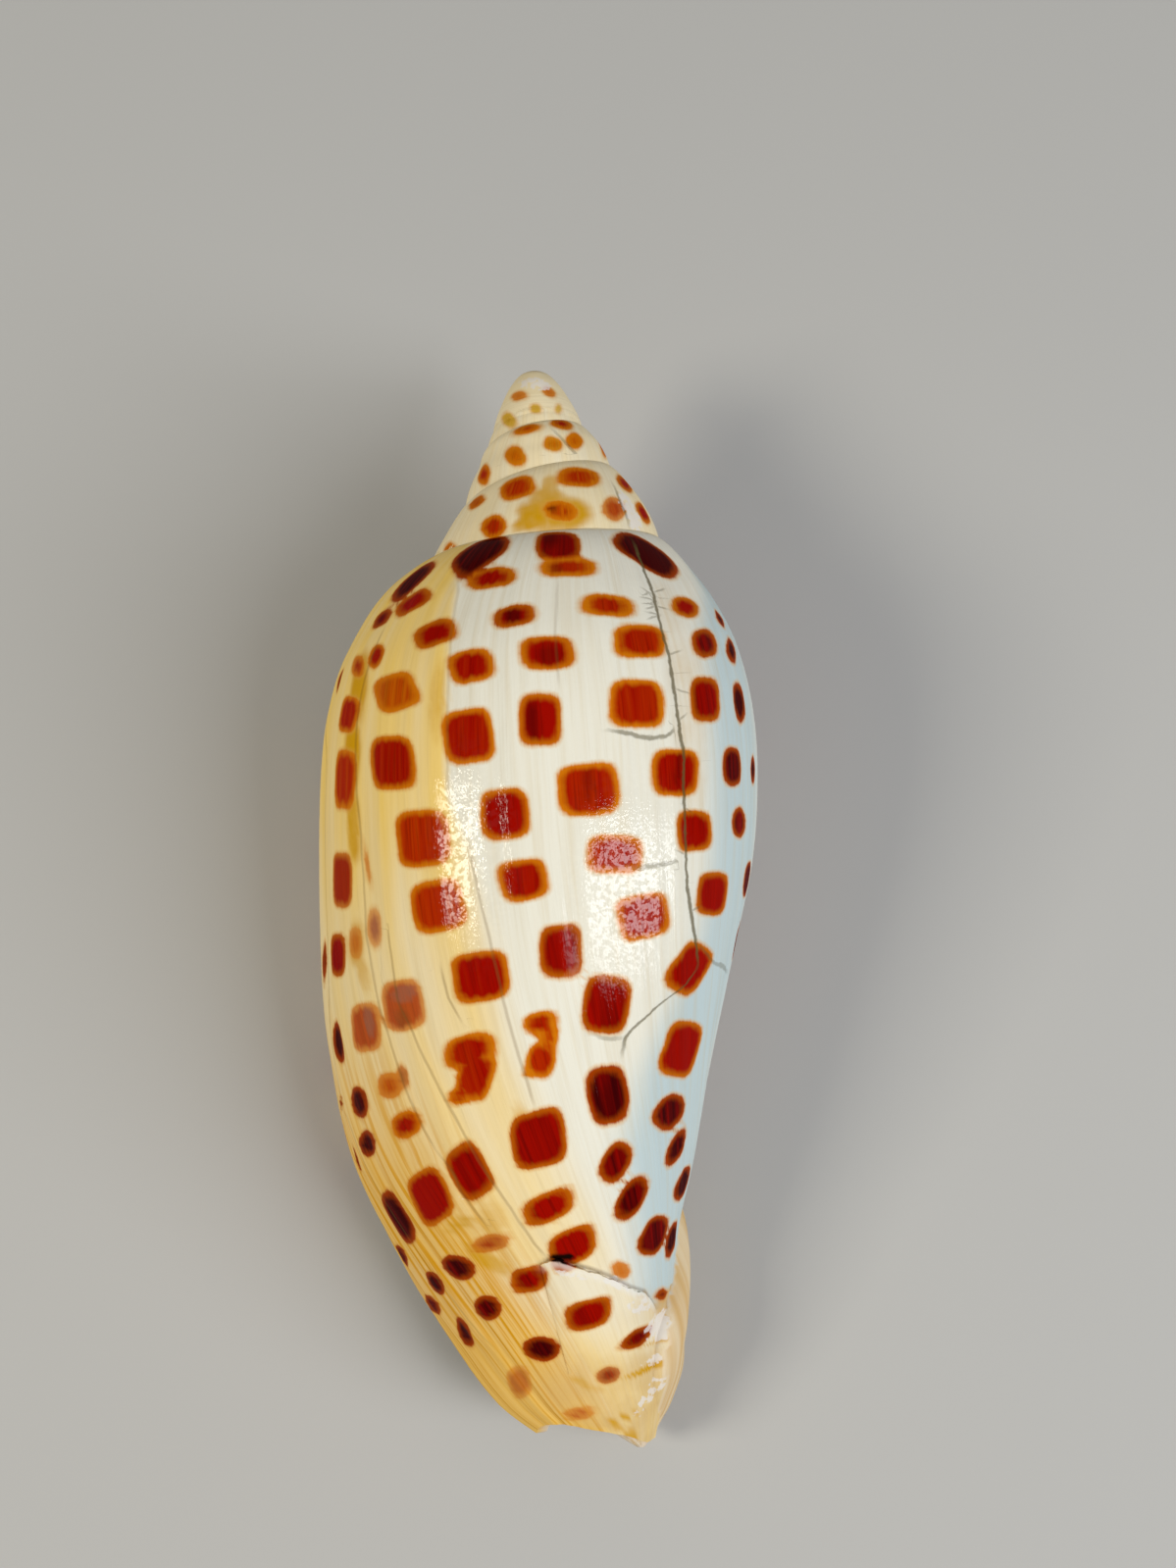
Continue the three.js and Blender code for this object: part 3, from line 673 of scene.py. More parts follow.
def hollow(steps, rows):
    """The room behind the lip, which narrows inwards, with the canal open at its front end near the lip."""
    turn = column(HOLLOW["deep_end"], HOLLOW["beyond_lip"], steps)
    scale = length_scale(turn)
    opened = smooth(turn, CANAL["closed_at"], CANAL["open_to"])
    bottom = CANAL["closed_below"] * scale * (1 - opened) + HOLLOW["below"] * opened
    share = column(0, 1, rows).T
    axial = HOLLOW["top"] * scale * (1 - share) + bottom * share
    bearing = bearing_of(turn, np.minimum(axial / scale, FRONT_ROW))
    wall = WALL["at_lip"] + (WALL["inside"] - WALL["at_lip"]) * smooth(-turn, 0, WALL["thickens_over"])
    depth = np.clip((turn - HOLLOW["deep_end"]) / HOLLOW["taper"], HOLLOW["least_depth"], 1)
    outer = (wall_radius(LIP_BEARING - bearing, axial) - wall) * np.sqrt(depth)
    return block_object("hollow", bearing, axial, np.maximum(outer, 2 * CORE_RADIUS), CORE_RADIUS)


def round_bearings(sides):
    return np.arange(sides)[None, :] * FULL_TURN / sides


def columella(rings, sides):
    first, last = COLUMELLA_OUTLINE[0][0], COLUMELLA_OUTLINE[-1][0]
    axial = first + (last - first) * column(0, 1, rings) ** 0.7
    bearing = round_bearings(sides)
    bent = np.maximum(axial - COLUMELLA_BEND["start"], 0) / (COLUMELLA_BEND["end"] - COLUMELLA_BEND["start"])
    ring = place_at(bearing, axial, columella_radius(bearing, axial))
    ring[..., 0] += COLUMELLA_BEND["shift"] * bent**2
    return tube_object("columella", ring)


def nucleus(rings, sides):
    first = NUCLEUS_OUTLINE[0][0]
    top = first + np.linspace(0, 1, rings + 1)[1:] ** 1.5 * (NUCLEUS_WIDEST - first)
    axial = np.concatenate([top, [3.6, 3.8, 4.0, NUCLEUS_END]])[:, None]
    ring = place_at(round_bearings(sides), axial, nucleus_radius(axial))
    ring[..., 0] -= NUCLEUS_SHIFT
    return tube_object("nucleus", ring)


def fold(number, steps, sides):
    """A columella fold: a thin tube, half sunk, that thins out at both ends."""
    start = FOLDS["first"] + number * FOLDS["spacing"]
    turn = column(FOLDS["start"], FOLDS["end"], steps)
    bearing = LIP_BEARING - turn
    axial = start * length_scale(turn) / length_scale(-FULL_TURN)
    surface = np.maximum(wall_radius(turn, axial), columella_radius(bearing, axial))
    along = (np.arange(steps + 1)[:, None] + 0.4) / (steps + 0.8)
    size = FOLDS["radius"] * np.sqrt(np.sin(np.pi * along))
    angle = np.radians(round_bearings(sides))
    return tube_object("fold", place_at(bearing, axial + size * FOLDS["stretch"] * np.cos(angle),
                                        surface - size * FOLDS["sunk"] + size * np.sin(angle)))


def ledge(steps, rows):
    """The healed ledge: a layer on the wall that starts at a ragged edge and thins out towards the front."""
    edge_bearing, edge_axial, _ = coordinates_of(places_at_pixels(LEDGE_EDGE))
    edge = curve_through(list(zip(edge_bearing, edge_axial)))
    bearing = column(edge_bearing[0], edge_bearing[-1], steps)
    share = column(0, 1, rows).T
    ragged = 0.04 * np.sin(bearing * 0.9) + 0.02 * np.sin(bearing * 2.3 + 1)
    axial = edge(bearing) + ragged + LEDGE["fades_over"] * share
    wall = wall_radius(LIP_BEARING - bearing, axial)
    along = (np.arange(steps + 1)[:, None] + 1) / (steps + 2)
    ends = np.sqrt(np.minimum(1, along * 6) * np.minimum(1, (1 - along) * 3))
    raised = LEDGE["height"] * (1 - LEDGE["falls"] * along) * ends * (1 - share**2)
    return block_object("ledge", bearing, axial, wall + raised, wall - LEDGE["backing"])


def build_shell():
    body_rows = row_places(150)
    shell = whorl("shell_body", UNCUT_TURN, 0, 210, body_rows)
    joined(shell, hollow(170, 110), "DIFFERENCE")
    joined(shell, whorl("turn", -FULL_TURN, UNCUT_TURN, 42, body_rows), "UNION")
    for whorls, steps, rows, share in SPIRE_STRETCHES:
        last = -whorls * FULL_TURN
        first = max(last - FULL_TURN / 2, FIRST_TURN)
        joined(shell, whorl("turn", first, last, steps, row_places(rows, share)), "UNION")
    joined(shell, columella(150, 90), "UNION")
    joined(shell, nucleus(26, 72), "UNION")
    joined(shell, ledge(90, 26), "UNION")
    for number in range(FOLDS["count"]):
        joined(shell, fold(number, 120, 18), "UNION")
    return shell


# Markings, as numbers on the points of the mesh

def outward_at(bearing):
    angle = np.radians(bearing)
    return np.stack([np.cos(angle), 0 * angle, -np.sin(angle)], -1)


def wall_turns(bearing, axial, radius):
    """The turn angle of the wall that each place lies on, and how far off the wall it is."""
    best_gap = np.full(bearing.shape, FAR)
    best_turn = np.zeros(bearing.shape)
    for turn, real in whorls_at(bearing, axial, 5, 1.0):
        gap = np.where(real, np.abs(radius - wall_radius(turn, axial) - relief(turn, axial)), FAR)
        best_turn = np.where(gap < best_gap, turn, best_turn)
        best_gap = np.minimum(gap, best_gap)
    return best_turn, best_gap


class Points:
    """The points of the mesh, the whorl each belongs to, and which of them lie on the outside."""

    def __init__(self, mesh):
        self.places = mesh_places(mesh, "vertices", "co")
        self.normals = mesh_places(mesh, "vertex_normals", "vector")
        self.bearing, self.axial, self.radius = coordinates_of(self.places)
        turn, gap = wall_turns(self.bearing, self.axial, self.radius)
        ledge_top = (self.bearing > LEDGE_AREA["first"]) & (self.bearing < LEDGE_AREA["last"])
        ledge_top &= (self.axial > LEDGE_AREA["from_axial"]) & (gap < ON_LEDGE)
        ledge_top &= self.radius > wall_radius(turn, self.axial) - 0.05
        on_nucleus = (self.axial < ON_NUCLEUS) & (gap > ON_WALL)
        self.turn = np.where(on_nucleus, NUCLEUS_TURN, turn)
        faces_out = (self.normals * outward_at(self.bearing)).sum(1) > -0.3
        self.outer = ((gap < ON_WALL) | ledge_top | on_nucleus) & faces_out
        self.body = (self.turn > -FULL_TURN) & ~on_nucleus
        self.grown = self.turn + growth_lag(self.axial / length_scale(self.turn))

    def across(self, line):
        return line.field(self.turn, self.axial, self.radius)


def mesh_places(mesh, items, key):
    values = np.empty(len(mesh.vertices) * 3, np.float32)
    getattr(mesh, items).foreach_get(key, values)
    return values.reshape(-1, 3).astype(float)


def put(mesh, name, *values):
    """Three numbers for each point of a mesh."""
    made = mesh.attributes.new(name, "FLOAT_VECTOR", "POINT")
    made.data.foreach_set("vector", np.stack(values, -1).astype(np.float32).ravel())


def own_whorl(place):
    """Bearing, axial distance and turn angle of a place on the back."""
    bearing, axial, _ = coordinates_of(place)
    turn = float(whorl_turn(bearing, axial))
    inside_nucleus = axial < NUCLEUS_END and (turn == 0 or wall_radius(turn, axial) < nucleus_radius(axial))
    return bearing, axial, NUCLEUS_TURN if inside_nucleus else turn


def surface_frame(bearing, axial, own_turn):
    """Unit directions on a whorl at a place: round the shell, down it, and outwards."""
    def near(around, along):
        if own_turn == NUCLEUS_TURN:
            return place_at(bearing + around, axial + along, nucleus_radius(axial + along))
        return place_at(bearing + around, axial + along, wall_radius(own_turn - around, axial + along))

    u, v = near(1, 0) - near(-1, 0), near(0, 0.2) - near(0, -0.2)
    n = np.cross(u, v)
    n = n if n @ outward_at(bearing) > 0 else -n
    return tuple(d / np.linalg.norm(d) for d in (u, v, n))


class Mark:
    """A flat mark on the outside. Its units are a matrix from mm round and down the shell to 1 at its edge."""

    def __init__(self, place, own_turn, directions, units):
        self.place, self.turn, self.units = place, own_turn, units
        self.u, self.v, self.n = directions
        self.half = 1 / np.linalg.norm(units, ord=2)

    @classmethod
    def at_pixel(cls, place, width, height, tilt):
        """The mark that shows at a place with a size in pixels, less foreshortened towards the outline."""
        bearing, axial, own_turn = own_whorl(place)
        u, v, n = surface_frame(bearing, axial, own_turn)
        here, along_u, along_v = pixel_of(np.stack([place, place + PIXEL_STEP * u, place + PIXEL_STEP * v]))
        per_u, per_v = (along_u - here) / PIXEL_STEP, (along_v - here) / PIXEL_STEP
        for per, other in ((per_u, per_v), (per_v, per_u)):
            along = other / np.linalg.norm(other)
            side = per - (per @ along) * along
            length = max(np.linalg.norm(side), TINY)
            per += side / length * max(0, LEAST_PIXELS_PER_MM - length)
        angle = math.radians(-tilt)
        spin = np.array([[math.cos(angle), -math.sin(angle)], [math.sin(angle), math.cos(angle)]])
        units = np.diag([2 / width, 2 / height]) @ spin @ np.stack([per_u, per_v], -1)
        return cls(place, own_turn, (u, v, n), units)

    def near(self, points, reach, facing=0.2):
        """The points of the outside that the mark may reach, and where they are in its own units."""
        near = points.outer & (np.abs(points.places - self.place).max(1) < reach)
        near &= (points.normals @ self.n > facing) & (np.abs(points.turn - self.turn) < QUARTER_TURN)
        index = np.nonzero(near)[0]
        offset = points.places[index] - self.place
        return index, np.stack([offset @ self.u, offset @ self.v], -1) @ self.units.T


def marks_of(table):
    """Each row's mark, with what follows x, y, width, height and tilt in the row."""
    for (_, _, width, height, tilt, *rest), place in zip(table, places_at_pixels([row[:2] for row in table])):
        yield Mark.at_pixel(place, width, height, tilt), rest


def soft_marks(points, table):
    """Strength of soft marks at each point."""
    total = np.zeros(len(points.places))
    for mark, (strength,) in marks_of(table):
        index, own = mark.near(points, 8, 0.1)
        reach = np.linalg.norm(own, axis=1)
        total[index] = np.maximum(total[index], strength * (1 - smooth(reach, *MARK_FADE)))
    return total


def line_fields(points, lines, within, reach=0.9):
    """The nearest of some (line, darkness) pairs at each point: how near, how far across, and how dark.

    No line reaches further than reach, so that it doesn't meet the next one's.
    """
    count = len(points.places)
    nearest, across, mask = np.full(count, 9.0), np.full(count, 2.0), np.zeros(count)
    for line, dark in lines:
        distance, line_mask = points.across(line)
        line_mask = line_mask * within * (np.abs(points.turn - line.turn) < LINE_TURNS)
        gap = np.abs(distance) + 2 * (1 - line_mask)
        closer = gap < nearest
        nearest[closer] = gap[closer]
        across[closer] = distance[closer]
        mask[closer] = (line_mask * dark)[closer]
    return nearest, np.clip(across, -2, 2), mask * (1 - smooth(np.abs(across), reach / 2, reach))


def tick_fields(points, nearest, across, mask):
    """Adds the short cracks to the fields of the cracks that run across."""
    for x0, y0, x1, y1 in TICKS:
        start, end = places_at_pixels([(x0, y0), (x1, y1)])
        n = surface_frame(*own_whorl(start))[2]
        length = np.linalg.norm(end - start)
        along = (end - start) / length
        offset = points.places - start
        side = offset @ np.cross(n, along)
        beyond = np.abs(offset @ along - length / 2) - length / 2
        gap = np.hypot(side, np.maximum(beyond, 0))
        closer = points.outer & (gap < nearest) & (np.abs(offset @ n) < 1)
        nearest[closer] = gap[closer]
        across[closer] = 2 * side[closer]
        mask[closer] = TICK_DARKNESS * (1 - smooth(beyond, -0.15, 0.15))[closer]
    return across, mask


def hidden_spots():
    """Marks and tones on the sides that the photograph doesn't show, in the same spiral rows."""
    random = np.random.default_rng(11)
    for whorls, first, last, rows in HIDDEN_STRETCHES:
        for number, row in enumerate(rows):
            turn = last - 6 * (number % 2) - 4 * random.random()
            while turn > first:
                own_turn = turn - growth_lag(row) - whorls * FULL_TURN
                scale = length_scale(own_turn)
                axial = row * scale + 0.5 * scale * (random.random() - 0.5)
                radius = float(wall_radius(own_turn, axial))
                across = (1.25 + 0.35 * random.random()) * min(1, 0.55 + radius / 22) * scale**0.4
                down = across * (0.75 + 0.35 * random.random())
                tone = 0.15 + 0.3 * random.random() if whorls else 0.35 + 0.55 * random.random()
                bearing = LIP_BEARING - own_turn
                directions = surface_frame(bearing, axial, own_turn)
                units = np.diag([1 / across, 1 / down])
                yield Mark(place_at(bearing, axial, radius), own_turn, directions, units), [tone]
                turn -= math.degrees((3.9 + 0.9 * random.random()) * min(1, 0.5 + radius / 22) / radius)


def paint_spots(points):
    """Distance from the edge of the nearest spot in mm, less than 0 inside it, with its tone and strength."""
    count = len(points.places)
    distance, tone, strength = np.full(count, 3.0), np.full(count, 0.5), np.ones(count)
    for mark, (own_tone, *own_strength) in [*marks_of(SPOTS), *hidden_spots()]:
        index, own = mark.near(points, 4.5)
        squareness = 2.4 + 1.6 * float(smooth(mark.half, 0.5, 1.3)) - 0.9 * float(smooth(own_tone, 0.75, 0.85))
        reach = (np.abs(own) ** squareness).sum(-1) ** (1 / squareness)
        gap = (reach - 1) * mark.half
        closer = gap < distance[index]
        chosen = index[closer]
        distance[chosen] = gap[closer]
        tone[chosen] = own_tone
        strength[chosen] = own_strength[0] if own_strength else 1
    for mark, _ in marks_of(BARE_PLACES):
        index, own = mark.near(points, 3)
        gap = (np.linalg.norm(own, axis=1) - 1) * mark.half
        distance[index] = np.maximum(distance[index], -gap)
    return distance, tone, strength


def ground_fields(points):
    """How warm, how cool and how ochre the ground is at each point. The cool tint on the right side is partly
    painted cool light.
    """
    warm_gap, _ = points.across(Line(WARM_EDGE))
    cool_gap, _ = points.across(Line(COOL_EDGE))
    past_edge, _ = points.across(Line(LEDGE_EDGE, True))
    softer = smooth(points.axial, 24, 34)
    in_front = smooth(past_edge, -0.2, 0.4)
    warm = (1 - smooth(warm_gap, -0.35 - 1.5 * softer, 0.2 + softer)) * (1 - 0.3 * softer) * (1 - in_front)
    warm = warm + in_front * (0.3 + 0.5 * smooth(past_edge, 1, 6))
    warm = np.where(points.body, warm, SPIRE_WARMTH) * (1 - smooth(-warm_gap, 30, 34))
    # A bluish tint along the right side, partly the shell's colour and partly painted cool light from the
    # right.
    cool = smooth(cool_gap, -0.8, 2.2) * (1 - smooth(cool_gap, 5, 10)) * (1 - in_front)
    ochre = smooth(points.axial, 34, 48) * smooth(points.grown, -80, -50)
    return warm, np.where(points.body, cool, 0), np.where(points.body, ochre, 0)


def mark_shell(shell):
    mesh = shell.data
    points = Points(mesh)
    glaze = smooth(-points.grown, *GLAZE["turns"]) * smooth(points.axial, *GLAZE["axial"])
    off_pillar = np.abs(points.radius - columella_radius(points.bearing, points.axial))
    pillar = (off_pillar < ON_PILLAR) & (points.axial > PILLAR_FROM) & ~points.outer
    stains_and_light = {name: soft_marks(points, table) for name, table in STAIN_AND_LIGHT_MARKS.items()}
    outer_body = points.outer & points.body
    _, groove, groove_colour_and_shade = line_fields(points, [(line, dark) for line, _, dark in SCAR_LINES], outer_body)
    _, down, down_dark = line_fields(points, [(Line(pixels), dark) for pixels, dark in CRACKS.values()],
                                     points.outer)
    crossing = [(Line(pixels, True), dark) for pixels, dark in SIDE_CRACKS.values()]
    side, side_dark = tick_fields(points, *line_fields(points, crossing, points.outer))
    # The ledge's edge, for a painted highlight band in front of it and a painted shadow line behind it.
    _, rim, ledge_light_and_shade = line_fields(points, [(Line(LEDGE_EDGE, True), 1.0)], outer_body, 3.0)
    put(mesh, "growth", points.grown * MM_PER_DEGREE, points.axial, np.where(points.outer, glaze, 1))
    put(mesh, "spots", *paint_spots(points))
    put(mesh, "ground", *ground_fields(points))
    put(mesh, "stains_and_light", stains_and_light["ochre"], stains_and_light["tan"], stains_and_light["white"])
    # The third number is the painted shadow in the hole beside the ledge.
    put(mesh, "films_and_shadow", stains_and_light["grey"], stains_and_light["deep"], stains_and_light["hole"])
    put(mesh, "grooves", groove, groove_colour_and_shade, pillar)
    put(mesh, "cracks_down", down, down_dark, stains_and_light["gloss"])
    put(mesh, "cracks_side", side, side_dark, 0 * side)
    put(mesh, "rim", rim, ledge_light_and_shade, 0 * rim)


def lay_down(shell):
    """Turns the shell to how it lies, and flattens it where it rests."""
    laid = mesh_places(shell.data, "vertices", "co") @ LAID_DOWN.T + MOVE
    laid[:, 2] = np.maximum(laid[:, 2], 0)
    shell.data.vertices.foreach_set("co", (laid * MM).astype(np.float32).ravel())
    shell.data.update()


# Materials

def linear(red, green, blue):
    """A colour from its 0 to 255 screen values."""
    share = np.array([red, green, blue]) / 255
    return (*np.where(share <= 0.04045, share / 12.92, ((share + 0.055) / 1.055) ** 2.4).tolist(), 1.0)


class Graph:
    """Short names for making a material's nodes."""

    def __init__(self, name):
        self.material = bpy.data.materials.new(name)
        self.material.use_nodes = True
        self.tree = self.material.node_tree
        self.shader = self.tree.nodes["Principled BSDF"]
        self.position = self.node("ShaderNodeTexCoord", {}).outputs["Object"]

    def node(self, kind, inputs, **settings):
        made = self.tree.nodes.new(kind)
        for key, value in settings.items():
            setattr(made, key, value)
        for key, value in inputs.items():
            self.feed(made.inputs[key], value)
        return made

    def feed(self, socket, value):
        if isinstance(value, bpy.types.NodeSocket):
            self.tree.links.new(value, socket)
        else:
            socket.default_value = value

    def set(self, **inputs):
        """Feeds the shader's inputs, whose names are written with _ for a space."""
        for name, value in inputs.items():
            self.feed(self.shader.inputs[name.replace("_", " ")], value)

    def math(self, operation, a, b=0.0):
        return self.node("ShaderNodeMath", {0: a, 1: b}, operation=operation).outputs[0]

    def plus(self, a, b):
        return self.math("ADD", a, b)

    def times(self, a, b):
        return self.math("MULTIPLY", a, b)

    def around(self, noise, spread):
        """A noise about 0 with that spread."""
        return self.times(self.math("SUBTRACT", noise, 0.5), spread)

    def numbers(self, name):
        """The three numbers that the points of the mesh hold under a name."""
        vector = self.node("ShaderNodeAttribute", {}, attribute_name=name).outputs["Vector"]
        return self.node("ShaderNodeSeparateXYZ", {"Vector": vector}).outputs

    def ramp(self, value, low, high):
        """0 at low and 1 at high, smoothly."""
        inputs = {"Value": value, "From Min": low, "From Max": high, "To Min": 0.0, "To Max": 1.0}
        return self.node("ShaderNodeMapRange", inputs, interpolation_type="SMOOTHSTEP").outputs["Result"]

    def mix(self, share, under, over):
        made = self.node("ShaderNodeMix", {}, data_type="RGBA")
        for socket, value in zip((0, 6, 7), (share, under, over)):
            self.feed(made.inputs[socket], value)
        return made.outputs[2]

    def shades(self, value, first, *steps):
        """A colour by value. Each step has its low end, its high end and the colour it leads to."""
        colour = linear(*first)
        for low, high, screen in steps:
            colour = self.mix(self.ramp(value, low, high), colour, linear(*screen))
        return colour

    def coat(self, share, *screen):
        """Lays a colour over what is painted so far."""
        self.colour = self.mix(share, self.colour, linear(*screen))

    def noise(self, vector, stretch, detail=2.0):
        scaled = self.node("ShaderNodeVectorMath", {0: vector, 1: stretch}, operation="MULTIPLY").outputs[0]
        inputs = {"Vector": scaled, "Scale": 1.0, "Detail": detail, "Roughness": 0.5}
        return self.node("ShaderNodeTexNoise", inputs).outputs["Fac"]

    def even_noise(self, lumps_per_metre, detail):
        return self.noise(self.position, (lumps_per_metre,) * 3, detail)


def paint_ground(g):
    own_warm, cool, ochre = g.numbers("ground")
    ochre_stain, tan_stain, g.white_stain = g.numbers("stains_and_light")
    g.colour = linear(240, 236, 220)
    warm = g.plus(own_warm, g.times(own_warm, g.around(g.broad, 1.3)))
    g.coat(g.times(warm, 0.8), 250, 210, 102)
    # Partly painted cool light: the bluish right side.
    g.coat(g.times(cool, 0.85), 188, 208, 212)
    g.coat(g.times(g.ramp(g.streaks, 0.4, 0.8), 0.22), 206, 176, 112)
    g.coat(g.times(g.ramp(g.fine, 0.5, 0.85), 0.14), 170, 150, 110)
    g.coat(g.times(ochre, 0.7), 238, 184, 66)
    g.coat(g.times(ochre, g.ramp(g.streaks, 0.44, 0.66)), 222, 158, 26)
    for stain, screen, share in ((tan_stain, (212, 174, 112), 0.8), (ochre_stain, (212, 156, 10), 1.0)):
        spread = g.plus(stain, g.times(g.ramp(stain, 0.0, 0.2), g.around(g.blotch, 0.7)))
        g.coat(g.times(g.ramp(spread, 0.05, 1.0), share), *screen)


def paint_spot_colours(g):
    """Paints a pale halo, an orange rim and a core that goes from ochre to maroon. Gives the core's share."""
    spot, own_tone, strength = g.numbers("spots")
    g.grey_film, deep, g.hole = g.numbers("films_and_shadow")
    edge = g.plus(spot, g.plus(g.around(g.blotch, 0.3), g.around(g.fine, 0.12)))
    edge = g.plus(edge, g.around(g.grain, 0.09))
    tone = g.plus(own_tone, g.around(g.streaks, 0.5))
    halo = g.times(g.ramp(edge, 0.2, 0.0), strength)
    rim = g.times(g.ramp(edge, 0.06, -0.08), strength)
    core = g.times(g.ramp(g.plus(edge, g.around(g.streaks, 0.45)), -0.02, -0.45), strength)
    g.coat(g.times(halo, 0.55), 222, 160, 70)
    g.colour = g.mix(rim, g.colour, g.shades(tone, (214, 168, 50), (-0.3, 0.1, (212, 120, 10)),
                                             (0.45, 1.0, (160, 58, 2))))
    core_colour = g.shades(tone, (206, 152, 26), (-0.3, 0.05, (204, 104, 4)), (0.05, 0.35, (180, 44, 0)),
                           (0.3, 0.6, (158, 10, 0)), (0.65, 1.0, (56, 2, 4)))
    core_colour = g.mix(g.times(g.ramp(g.fine, 0.45, 0.75), 0.4), core_colour, linear(96, 8, 0))
    core_colour = g.mix(g.times(deep, 0.9), core_colour, linear(66, 2, 2))
    g.colour = g.mix(core, g.colour, core_colour)
    return core


def paint_films_and_ledge_light(g, core):
    """Paints grey films on spots, white crusts with painted glints, a painted highlight band and a painted
    shadow line at the ledge's edge, and the painted shadow in the hole beside it.
    """
    film = g.times(g.ramp(g.plus(g.grey_film, g.around(g.streaks, 0.5)), 0.2, 0.8), core)
    g.coat(g.times(film, 0.75), 152, 106, 84)
    # White crusts, and painted glints on the ledge and on a dark spot near it.
    crust_and_glint = g.plus(g.white_stain, g.times(g.ramp(g.white_stain, 0.0, 0.3), g.around(g.grain, 2.4)))
    g.coat(g.times(g.ramp(crust_and_glint, 0.35, 0.65), 0.7), 238, 232, 226)
    past, ledge_light_and_shade, _ = g.numbers("rim")
    past = g.plus(past, g.around(g.blotch, 0.25))
    # Painted highlight: a bright band on the ledge just in front of its edge.
    painted_highlight_band = g.times(g.times(g.ramp(past, -0.05, 0.05), g.ramp(past, 0.6, 0.15)), ledge_light_and_shade)
    g.coat(g.times(painted_highlight_band, 0.5), 244, 240, 230)
    # Painted shadow: a dark brown line just behind the ledge's edge.
    gap = g.times(g.times(g.ramp(past, -0.35, -0.08), g.ramp(past, 0.02, -0.06)), ledge_light_and_shade)
    g.coat(g.times(gap, 0.45), 80, 50, 24)
    # Painted shadow in the hole beside the ledge, near black.
    g.coat(g.ramp(g.plus(g.hole, g.around(g.grain, 0.5)), 0.3, 0.8), 22, 8, 4)


def paint_cracks(g, groove_distance, groove_colour_and_shade):
    """Paints scars, whose dark lines are partly painted shade along their steps, and cracks. Gives how deep
    they are, and the gloss.
    """
    distance = g.math("ABSOLUTE", g.plus(groove_distance, g.around(g.blotch, 0.2)))
    # The scars' dark lines: partly their own colour, partly painted shade at the step.
    groove = g.times(g.ramp(distance, 0.14, 0.02), groove_colour_and_shade)
    g.coat(g.times(groove, 0.65), 120, 88, 42)
    down, down_dark, gloss = g.numbers("cracks_down")
    side, side_dark, _ = g.numbers("cracks_side")
    width = g.plus(0.12, g.around(g.blotch, 0.16))
    cracked = 0.0
    for across, dark in ((down, down_dark), (side, side_dark)):
        bent = g.plus(across, g.plus(g.around(g.blotch, 0.4), g.around(g.grain, 0.22)))
        line = g.times(g.ramp(g.math("SUBTRACT", g.math("ABSOLUTE", bent), width), 0.06, -0.07), dark)
        cracked = g.math("MAXIMUM", cracked, line)
    g.coat(g.times(cracked, 0.8), 96, 84, 46)
    return g.math("MAXIMUM", groove, cracked), gloss


def bump(g, height, strength, distance):
    inputs = {"Strength": strength, "Distance": distance, "Height": height}
    return g.node("ShaderNodeBump", inputs).outputs["Normal"]


def shell_material():
    g = Graph("shell")
    arc, axial, inner = g.numbers("growth")
    growth = g.node("ShaderNodeCombineXYZ", {"X": arc, "Y": axial}).outputs["Vector"]
    g.broad = g.noise(growth, (0.55, 0.05, 1.0), 3.0)
    g.streaks = g.noise(growth, (2.6, 0.09, 1.0), 3.0)
    g.fine = g.noise(growth, (9.0, 0.25, 1.0))
    g.blotch = g.even_noise(420.0, 3.0)
    g.grain = g.even_noise(2600.0, 2.0)
    groove_distance, groove_colour_and_shade, pillar = g.numbers("grooves")
    paint_ground(g)
    paint_films_and_ledge_light(g, paint_spot_colours(g))
    depth, gloss = paint_cracks(g, groove_distance, groove_colour_and_shade)
    inner_colour = g.shades(g.blotch, (236, 220, 196), (0.3, 0.7, (228, 200, 168)))
    glaze_colour = g.shades(g.broad, (230, 208, 170), (0.3, 0.7, (216, 178, 120)))
    colour = g.mix(pillar, g.mix(inner, g.colour, inner_colour), glaze_colour)
    speckle = g.times(g.ramp(g.even_noise(3400.0, 2.0), 0.45, 0.5), g.times(gloss, 0.9))
    height = g.plus(g.times(g.fine, 0.35), g.times(g.grain, 0.25))
    height = g.plus(height, g.times(g.streaks, 0.6))
    height = g.math("SUBTRACT", height, g.times(depth, 0.8))
    glints = g.plus(g.times(g.even_noise(6200.0, 1.0), gloss), g.times(height, 1.2))
    g.set(Base_Color=colour, Roughness=g.plus(0.3, g.times(g.blotch, 0.2)), Specular_IOR_Level=0.0,
          Normal=bump(g, height, 0.5, 0.08 * MM), Coat_Weight=g.plus(0.1, speckle), Coat_Roughness=0.04,
          Coat_IOR=1.42, Coat_Normal=bump(g, glints, 0.8, 0.02 * MM))
    return g.material


# Studio

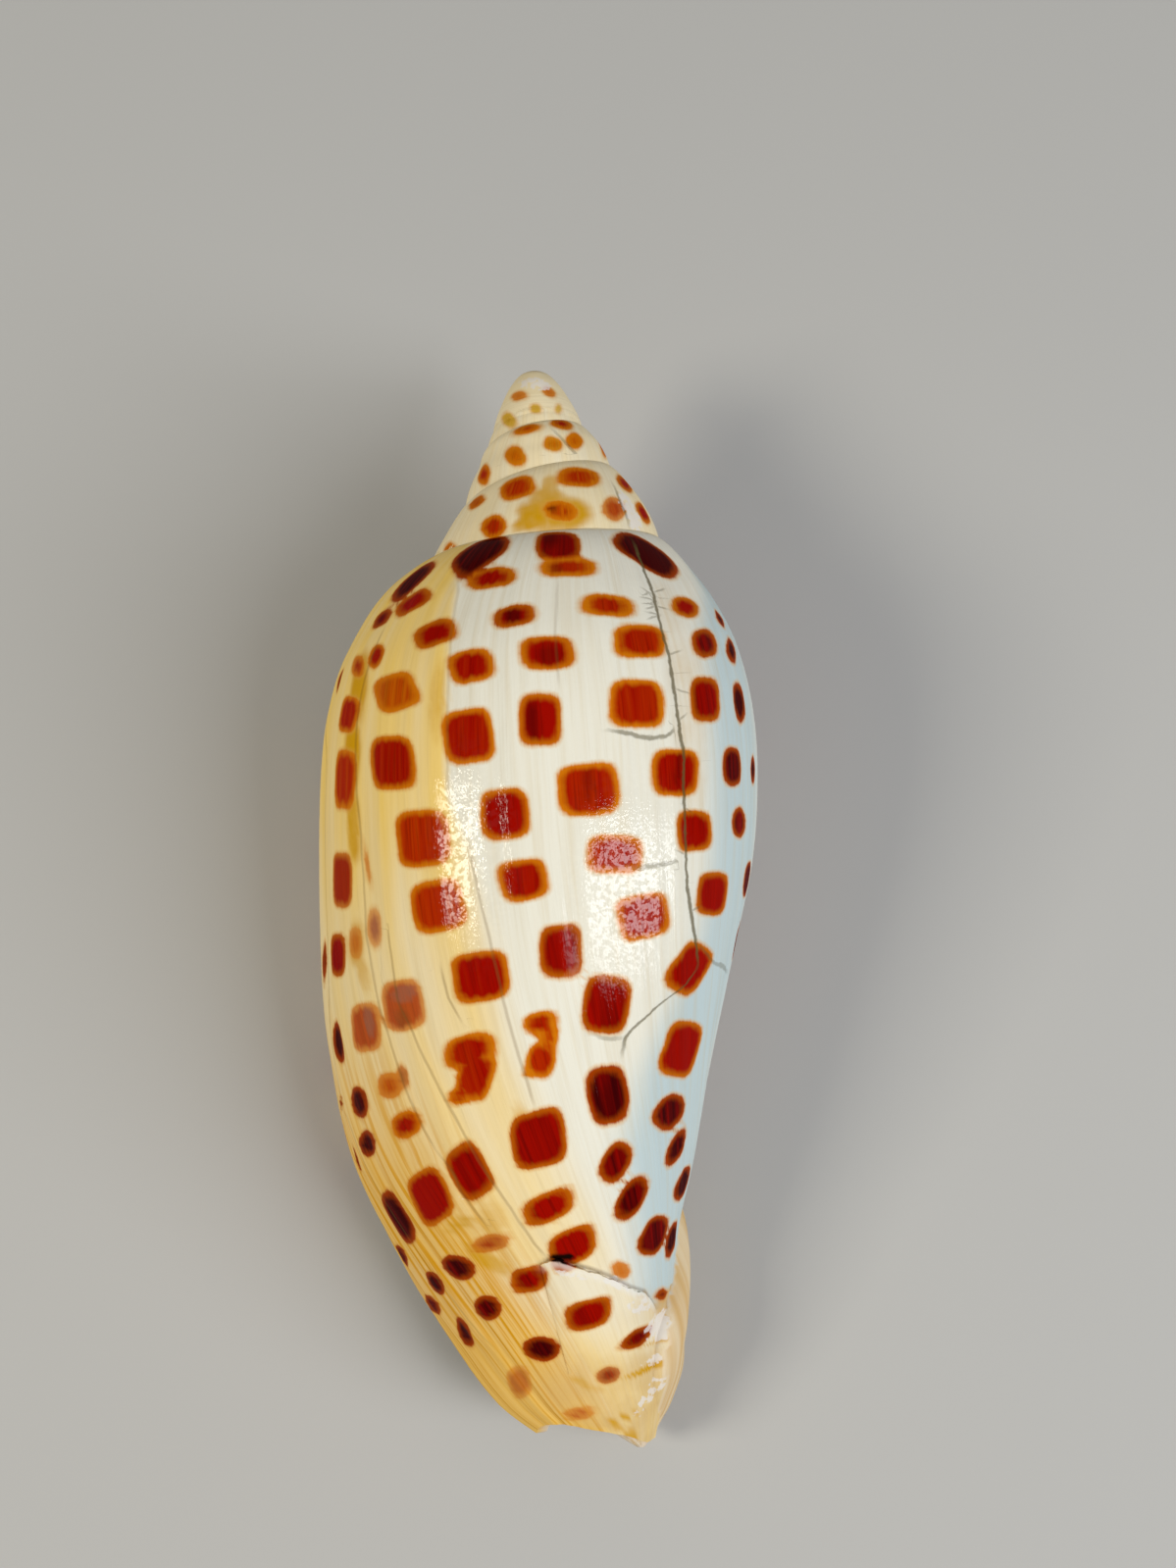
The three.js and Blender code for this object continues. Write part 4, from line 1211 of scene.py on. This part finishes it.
def mirrored(pixel):
    """The direction from which light reaches the camera off the smooth shell at a pixel."""
    place = places_at_pixels([pixel])[0]
    normal = LAID_DOWN @ surface_frame(*own_whorl(place))[2]
    to_eye = EYE - (LAID_DOWN @ place + MOVE)
    to_eye = to_eye / np.linalg.norm(to_eye)
    return 2 * (normal @ to_eye) * normal - to_eye


def window_light(name, x, y, width, height, strength, colour):
    """A soft light whose reflection fills a box of the frame, given by its centre and its size in pixels."""
    left, right = mirrored((x - width / 2, y)), mirrored((x + width / 2, y))
    front, rear = mirrored((x, y + height / 2)), mirrored((x, y - height / 2))
    towards = mirrored((x, y))
    across = right - left - ((right - left) @ towards) * towards
    across_unit = across / np.linalg.norm(across)
    down = np.cross(across_unit, towards)
    light = bpy.data.lights.new(name, "AREA")
    light.shape = "RECTANGLE"
    light.size = float(np.linalg.norm(right - left)) * WINDOW_DISTANCE * MM
    light.size_y = float(abs((rear - front) @ down) / np.linalg.norm(down)) * WINDOW_DISTANCE * MM
    light.energy = strength * math.pi * light.size * light.size_y
    light.color = colour
    middle = np.array([0, 0, TARGET[2]])
    aim(added(name, light), across_unit, -down, towards, middle + WINDOW_DISTANCE * towards)


def make_lights():
    window_light("window_left", 470, 875, 40, 150, 15.0, (1.0, 0.95, 0.82))
    window_light("window_right", 640, 900, 84, 170, 8.6, (0.95, 0.97, 1.0))
    world = bpy.data.worlds.new("studio")
    bpy.context.scene.world = world
    world.use_nodes = True
    world.node_tree.nodes["Background"].inputs["Color"].default_value = (0.97, 0.98, 1.0, 1)
    world.node_tree.nodes["Background"].inputs["Strength"].default_value = 0.19
    bpy.context.scene.view_settings.view_transform = "Standard"


def make_floor():
    corners = np.array([(-1, -1, 0), (1, -1, 0), (1, 1, 0), (-1, 1, 0)]) * FLOOR_REACH * MM
    floor = mesh_object("floor", corners, [(0, 1, 2, 3)])
    g = Graph("floor")
    g.set(Base_Color=linear(188, 187, 184), Roughness=0.7)
    floor.data.materials.append(g.material)


make_camera()
make_lights()
make_floor()
shell = build_shell()
mark_shell(shell)
lay_down(shell)
shell.data.materials.clear()
shell.data.materials.append(shell_material())
for polygon in shell.data.polygons:
    polygon.use_smooth = True
    polygon.material_index = 0
shell.data.set_sharp_from_angle(angle=math.radians(SHARP_FROM))

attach(shell, "root")
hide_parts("shell")
